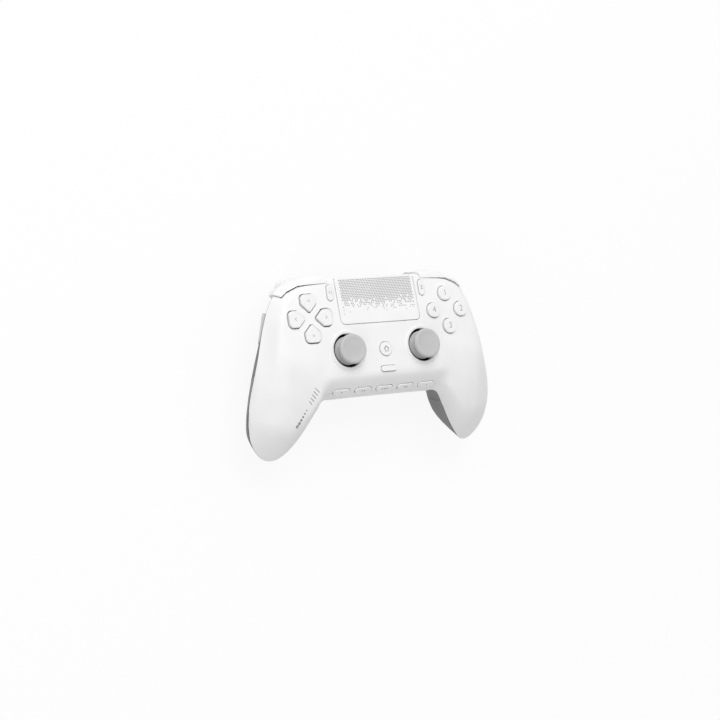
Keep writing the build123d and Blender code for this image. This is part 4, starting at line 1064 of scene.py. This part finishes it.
def stick_cap():
    """A thumb cap as radius and height: skirt over the well, neck, brim and dished top."""
    outer, inner = 10.7, 9.8
    skirt = [(0, STICK_PIVOT + inner)] + bowl(inner, range(14, 50, 5)) + bowl(outer, range(49, 30, -2))
    neck = [(5.6, 1.2), (5.6, 3.0)] + arc((6.4, 3.1), 0.8, 180, 100, 5)
    brim = [(7.6, 4.0)] + arc((7.7, 4.75), 0.7, -75, 0, 5) + [(8.4, 5.1)] + arc((7.3, 5.4), 1.1, 0, 90, 8)
    dish = [(6.9, 6.5), (6.3, 6.46), (5.8, 6.3), (5.2, 6.2), (3.5, 6.13), (1.5, 6.1), (0, 6.1)]
    return lathe(skirt + neck + brim + dish)


class PAD_OT_sticks(bpy.types.Operator):
    """Dished rubber caps of the sticks"""

    bl_idname = "pad.sticks"
    bl_label = "Sticks"

    def execute(self, context):
        for side, place in stick_places().items():
            made = piece(side + "_thumb_cap", stick_cap(), place)
            dress(made, "cap_grey", side + "_stick", "cap_grey", side + "_stick_cap", angle=40)
        return {"FINISHED"}


ARROW = ((-0.55, -0.85), (0.55, 0), (-0.55, 0.85), (-0.15, 0.85), (0.95, 0), (-0.15, -0.85))


class PAD_OT_direction_pad(bpy.types.Operator):
    """Direction pad of four keys on one plate, with an arrowhead on each"""

    bl_idname = "pad.direction_pad"
    bl_label = "Direction pad"

    def execute(self, context):
        form = context.scene.pad_form
        long, short, low, high = 11.4, 4.8, -4.7, -3.5
        arrow_x = 9.6
        place = dpad_place()
        key = cap(key_outline(), PAD_FOOT, PAD_TOP, form.pad_edge / MM)
        solids = [placed(turn, key) for turn in quarters()]
        for half_x, half_y in ((long, short), (short, long)):
            solids.append(box((-half_x, -half_y, low), (half_x, half_y, high)))
        made = piece("direction_keys", gather(*solids), place)
        dress(made, "key_white", "direction_pad", "key_white", "dpad")
        arrow = sheet(ARROW, PAD_TOP + form.print_lift / MM)
        sheets = [placed(turn @ at(arrow_x, 0), arrow) for turn in quarters()]
        dress(piece("direction_marks", gather(*sheets), place), "mark_grey", "direction_pad", "key_white")
        return {"FINISHED"}


def letter(text, size, lift):
    """A figure as a flat sheet, in millimetres, centred on the origin."""
    thinner = 0.012
    drawn = bpy.data.curves.new("figure", "FONT")
    drawn.body = text
    drawn.size = size
    drawn.align_x = drawn.align_y = "CENTER"
    drawn.offset = -thinner * size
    held = bpy.data.objects.new("figure", drawn)
    mesh = bpy.data.meshes.new_from_object(held)
    points = [(vertex.co.x, vertex.co.y, lift) for vertex in mesh.vertices]
    faces = [tuple(face.vertices) for face in mesh.polygons]
    bpy.data.objects.remove(held)
    bpy.data.meshes.remove(mesh)
    return points, faces


def round_button(radius, foot, top, edge, steps):
    """A turned button with its upper edge rounded."""
    rim = arc((radius - edge, top - edge), edge, 0, 90, steps)
    return lathe([(0, foot), (radius, foot)] + rim + [(0, top)])


class PAD_OT_face_buttons(bpy.types.Operator):
    """Four round buttons with plain numbers"""

    bl_idname = "pad.face_buttons"
    bl_label = "Face buttons"

    def execute(self, context):
        figure_size, edge = 5.0, 0.45
        lift = BUTTON_TOP + context.scene.pad_form.print_lift / MM
        button = round_button(BUTTON_RADIUS, BUTTON_FOOT, BUTTON_TOP, edge, steps=6)
        for number, (name, place) in enumerate(pod_places().items(), 1):
            body = name + "_button"
            made = piece(name + "_cap", button, place)
            dress(made, "key_white", body, "key_white", "face_button_" + name)
            figure = piece(name + "_figure", letter(str(number), figure_size, lift), place)
            dress(figure, "mark_grey", body, "key_white")
        return {"FINISHED"}


# Marks of the small keys: bars from one corner to the other, and the outlines of a house
MENU_BARS = {
    "left": ((-0.75, -0.75, 0.75, -0.5), (-0.75, 0.5, 0.75, 0.75)),
    "right": ((-1.0, -0.75, -0.7, 0.75), (-0.15, -0.75, 0.15, 0.75), (0.7, -0.75, 1.0, 0.75)),
}
ROOF = ((-1.75, 0.1), (-1.4, -0.25), (0, 1.15), (1.4, -0.25), (1.75, 0.1), (0, 1.85))
WALLS = (
    (-1.2, -1.6), (-1.2, -0.05), (-0.85, 0.3), (-0.85, -1.25),
    (0.85, -1.25), (0.85, 0.3), (1.2, -0.05), (1.2, -1.6),
)


def bars(rows, lift):
    return gather(*[sheet([(x, y), (u, y), (u, v), (x, v)], lift) for x, y, u, v in rows])


def pips(index, lift):
    """Round marks of a key of the lower row: most on the middle key, one on the outer keys."""
    pitch, radius = 1.5, 0.42
    count = min(index, KEY_COUNT - 1 - index) + 1
    spots = [pitch * (step - (count - 1) / 2) for step in range(count)]
    return gather(*[placed(at(x, 0), sheet(circle(radius, 20), lift)) for x in spots])


class PAD_OT_small_keys(bpy.types.Operator):
    """Menu keys, home button, mute key and the row of five keys on the lower edge"""

    bl_idname = "pad.small_keys"
    bl_label = "Small keys"

    def execute(self, context):
        form = context.scene.pad_form
        edge, lift = form.key_edge / MM, form.print_lift / MM
        for side, place in menu_places().items():
            body = side + "_menu_key"
            made = piece(side + "_menu_cap", cap(stadium(MENU_SIZE), KEY_FOOT, MENU_TOP, edge), place)
            dress(made, "key_white", body, "key_white", side + "_menu_button")
            marks = bars(MENU_BARS[side], MENU_TOP + lift)
            dress(piece(side + "_menu_mark", marks, place), "mark_grey", body, "key_white")
        home = piece("home_cap", round_button(HOME_RADIUS, KEY_FOOT, HOME_TOP, edge=0.35, steps=5))
        dress(home, "key_white", "home_key", "key_white", "home_button")
        house = gather(sheet(ROOF, HOME_TOP + lift), sheet(WALLS, HOME_TOP + lift))
        dress(piece("home_mark", house), "mark_grey", "home_key", "key_white")
        mute = piece("mute_cap", cap(stadium(MUTE_SIZE), KEY_FOOT, MUTE_TOP, edge), at(0, MUTE_Y))
        dress(mute, "key_white", "mute_key", "key_white", "mute_button")
        key = cap(stadium(EDGE_KEY_SIZE), EDGE_KEY_FOOT, EDGE_KEY_TOP, edge)
        for index, place in enumerate(key_places()):
            name = "bottom_key_" + str(index + 1)
            dress(piece(name + "_cap", key, place), "key_white", name + "_body", "key_white", name)
            finish = "mark_violet" if 0 < index < KEY_COUNT - 1 else "mark_grey"
            made = piece(name + "_mark", pips(index, EDGE_KEY_TOP + lift), place)
            dress(made, finish, name + "_body", "key_white")
        return {"FINISHED"}


class PAD_OT_touch_surface(bpy.types.Operator):
    """Touch surface with printed dots that thin out towards the player"""

    bl_idname = "pad.touch_surface"
    bl_label = "Touch surface"

    def execute(self, context):
        form = context.scene.pad_form
        foot, edge = -1.6, 0.3
        far_y, field, margin = 25.2, 24.4, 4.6
        place = touch_place()
        plate = piece("touch_plate", cap(touch_outline(), foot, 0.0, edge), place)
        dress(plate, "touch_white", "touch_surface", "key_white", "touchpad")
        smaller = 0.25
        order = random.Random(form.dot_seed)
        pitch, radius = form.dot_pitch / MM, form.dot_size / MM
        rise = pitch * math.sqrt(3) / 2
        columns = int((2 * TOUCH_HALF - margin) / pitch)
        dots = []
        for row in range(int(field / rise)):
            y = far_y - row * rise
            share = (far_y - y) / field
            size = radius * (1 - smaller * ramp(share, start=0.4, end=0.8))
            kept = 1 - ramp(share, start=0.38, end=0.84)
            for column in range(columns):
                x = (column - (columns - 1) / 2 + (row % 2) / 2) * pitch
                if order.random() <= kept:
                    dots.append(placed(at(x, y), sheet(circle(size, 8), form.print_lift / MM)))
        dress(piece("touch_dots", gather(*dots), place), "mark_grey", "touch_surface", "key_white")
        return {"FINISHED"}


def draped(outline, lift):
    points = [(x, y, surface_height(x, y) + lift) for x, y in outline]
    return points, [tuple(range(len(points)))]


# The row of marks on the left grip, from its lower to its upper end, and the corners of a stroke: side and
# way along the row
MARK_START, MARK_END = Vector((-57.8, -37.7)), Vector((-46.6, -19.8))
STROKE = ((-1, -0.18), (1, 0.55), (1, 0.95), (-1, 0.22))


class PAD_OT_grip_marks(bpy.types.Operator):
    """Plain strokes and dots along the inner edge of the left grip"""

    bl_idname = "pad.grip_marks"
    bl_label = "Grip marks"

    def execute(self, context):
        strokes, dots, pitch = 5, 6, 1.9
        stroke_half, stroke_taper, dot_radius, dot_taper = 1.9, 0.16, 0.95, 0.11
        curve_lift = 0.02
        lift = context.scene.pad_form.print_lift / MM + curve_lift
        along = (MARK_END - MARK_START).normalized()
        across = Vector((-along.y, along.x))
        sheets = []
        for index in range(strokes):
            middle = MARK_END - along * pitch * index
            half = stroke_half - stroke_taper * index
            corners = [middle + across * side * half + along * ahead for side, ahead in STROKE]
            sheets.append(draped(corners, lift))
        for index in range(dots):
            middle = MARK_START + along * (pitch * index)
            spot = circle(dot_radius - dot_taper * index, 18)
            sheets.append(draped([(middle.x + x, middle.y + y) for x, y in spot], lift))
        dress(piece("grip_marks", gather(*sheets)), "mark_grey", "case", "case_white")
        return {"FINISHED"}


def paddle_place(y):
    """Where a right paddle stands on the back, tipped to the slope of the back there."""
    reach = 3.5
    low, middle, high = (surface_height(PADDLE_X, y + step * reach, False) for step in (-1, 0, 1))
    slope = math.degrees(math.atan((high - low) / (2 * reach)))
    return at(PADDLE_X, y, min(middle, (low + high) / 2), turn_x=180 + slope)


def paddle():
    """A blade that stands off the back by its swing, on a root."""
    clearance, thick, edge, foot, taper = 0.48, 2.2, 0.6, 0.25, 1.5
    root_start, root_end, root_half, root_low, root_overlap = 0.2, 3.0, 3.5, 0.35, 0.3
    end, half = PADDLE_REACH, PADDLE_HALF
    lift = end * math.tan(math.radians(PADDLE_SWING)) + clearance
    corners = [
        (0, -half), (end - taper, -half), (end, taper - half),
        (end, half - taper), (end - taper, half), (0, half),
    ]
    outline = rounded(corners, (0.8, 0.9, 0.9, 0.9, 0.9, 0.8))
    root = box((root_start, -root_half, root_low), (root_end, root_half, lift + root_overlap))
    return gather(cap(outline, lift, lift + thick, edge, foot=foot), root)


class PAD_OT_rear_controls(bpy.types.Operator):
    """Rear paddles and side buttons"""

    bl_idname = "pad.rear_controls"
    bl_label = "Rear controls"

    def execute(self, context):
        for level, y in PADDLE_LEVELS:
            solid = placed(paddle_place(y), paddle())
            for side, turn in HANDS:
                made = piece(side + "_" + level + "_blade", turn(solid))
                name = side + "_" + level + "_paddle"
                dress(made, "rear_grey", name + "_body", "rear_grey", name)
        key = placed(side_place(), cap(stadium(SIDE_SIZE), -SIDE_DROP, SIDE_TOP, edge=0.5))
        for side, turn in HANDS:
            made = piece(side + "_side_cap", turn(key))
            dress(made, "side_light_grey", side + "_side_key", "side_light_grey", side + "_side_button")
        return {"FINISHED"}


# A screw from its head to its point, as radius and height over the seat of the head
SCREW_PROFILE = (
    (0, -1.3), (1.5, -1.3), (1.85, -1.1), (2.0, -0.7), (2.0, 0.0), (1.0, 0.0), (1.0, 8.4), (0, 9.0),
)


class PAD_OT_sockets(bpy.types.Operator):
    """Rounded charging socket and screws with a cross in each head"""

    bl_idname = "pad.sockets"
    bl_label = "Sockets and screws"

    def execute(self, context):
        socket_edge = 0.2 * MM
        slot_half, slot_width, slot_low, slot_high = 1.1, 0.25, -1.5, -0.6
        socket = from_node("usb_socket", "charging_socket", socket_edge, angle=40)
        dress(socket, "metal", "case", "metal", "usb_socket")
        screws = []
        for x, y, joint_z in screw_places():
            profile = [(radius, joint_z - SCREW_SEAT + z) for radius, z in SCREW_PROFILE]
            screws.append(placed(at(x, y), lathe(profile, sides=32)))
        made = piece("cross_screws", gather(*screws))
        for half_x, half_y in ((slot_half, slot_width), (slot_width, slot_half)):
            slots = []
            for x, y, joint_z in screw_places():
                seat = joint_z - SCREW_SEAT
                corner = (x + half_x, y + half_y, seat + slot_high)
                slots.append(box((x - half_x, y - half_y, seat + slot_low), corner))
            carve(made, gather(*slots))
        dress(made, "screw_steel", "case", "screw_steel", "case_screws")
        return {"FINISHED"}


class PAD_OT_inner_finishes(bpy.types.Operator):
    """Finishes of the pieces inside the case"""

    bl_idname = "pad.inner_finishes"
    bl_label = "Inner finishes"

    def execute(self, context):
        slots = {one["node"]: one["material_slot"] for one in frame["record"]["subparts"]}
        for name, node in frame["nodes"].items():
            node.data.materials.clear()
            node.data.materials.append(material(slots[name]))
        return {"FINISHED"}


class PAD_PT_panel(bpy.types.Panel):
    """Pieces and settings of the gamepad"""

    bl_idname = "PAD_PT_panel"
    bl_label = "Gamepad"
    bl_space_type = "VIEW_3D"
    bl_region_type = "UI"
    bl_category = "Gamepad"

    def draw(self, context):
        for group in (context.scene.pad_form, context.scene.pad_finish, context.scene.pad_stage):
            column = self.layout.column(align=True)
            for name in group.__annotations__:
                column.prop(group, name)
        for operator in OPERATORS:
            self.layout.operator(operator.bl_idname)


GROUPS = (("pad_form", PadForm), ("pad_finish", PadFinish), ("pad_stage", PadStage))
OPERATORS = (
    PAD_OT_stage, PAD_OT_inner_finishes, PAD_OT_front_shell, PAD_OT_rear_shell, PAD_OT_grip_panels,
    PAD_OT_bumpers, PAD_OT_triggers, PAD_OT_sticks, PAD_OT_direction_pad, PAD_OT_face_buttons,
    PAD_OT_small_keys, PAD_OT_touch_surface, PAD_OT_grip_marks, PAD_OT_rear_controls, PAD_OT_sockets,
)


def register():
    for name, group in GROUPS:
        bpy.utils.register_class(group)
        setattr(bpy.types.Scene, name, PointerProperty(type=group))
    for operator in OPERATORS:
        bpy.utils.register_class(operator)
    bpy.utils.register_class(PAD_PT_panel)


def unregister():
    bpy.utils.unregister_class(PAD_PT_panel)
    for operator in reversed(OPERATORS):
        bpy.utils.unregister_class(operator)
    for name, group in reversed(GROUPS):
        delattr(bpy.types.Scene, name)
        bpy.utils.unregister_class(group)


def main():
    register()
    for operator in OPERATORS:
        group, name = operator.bl_idname.split(".")
        getattr(getattr(bpy.ops, group), name)()


if __name__ == "__main__":
    main()
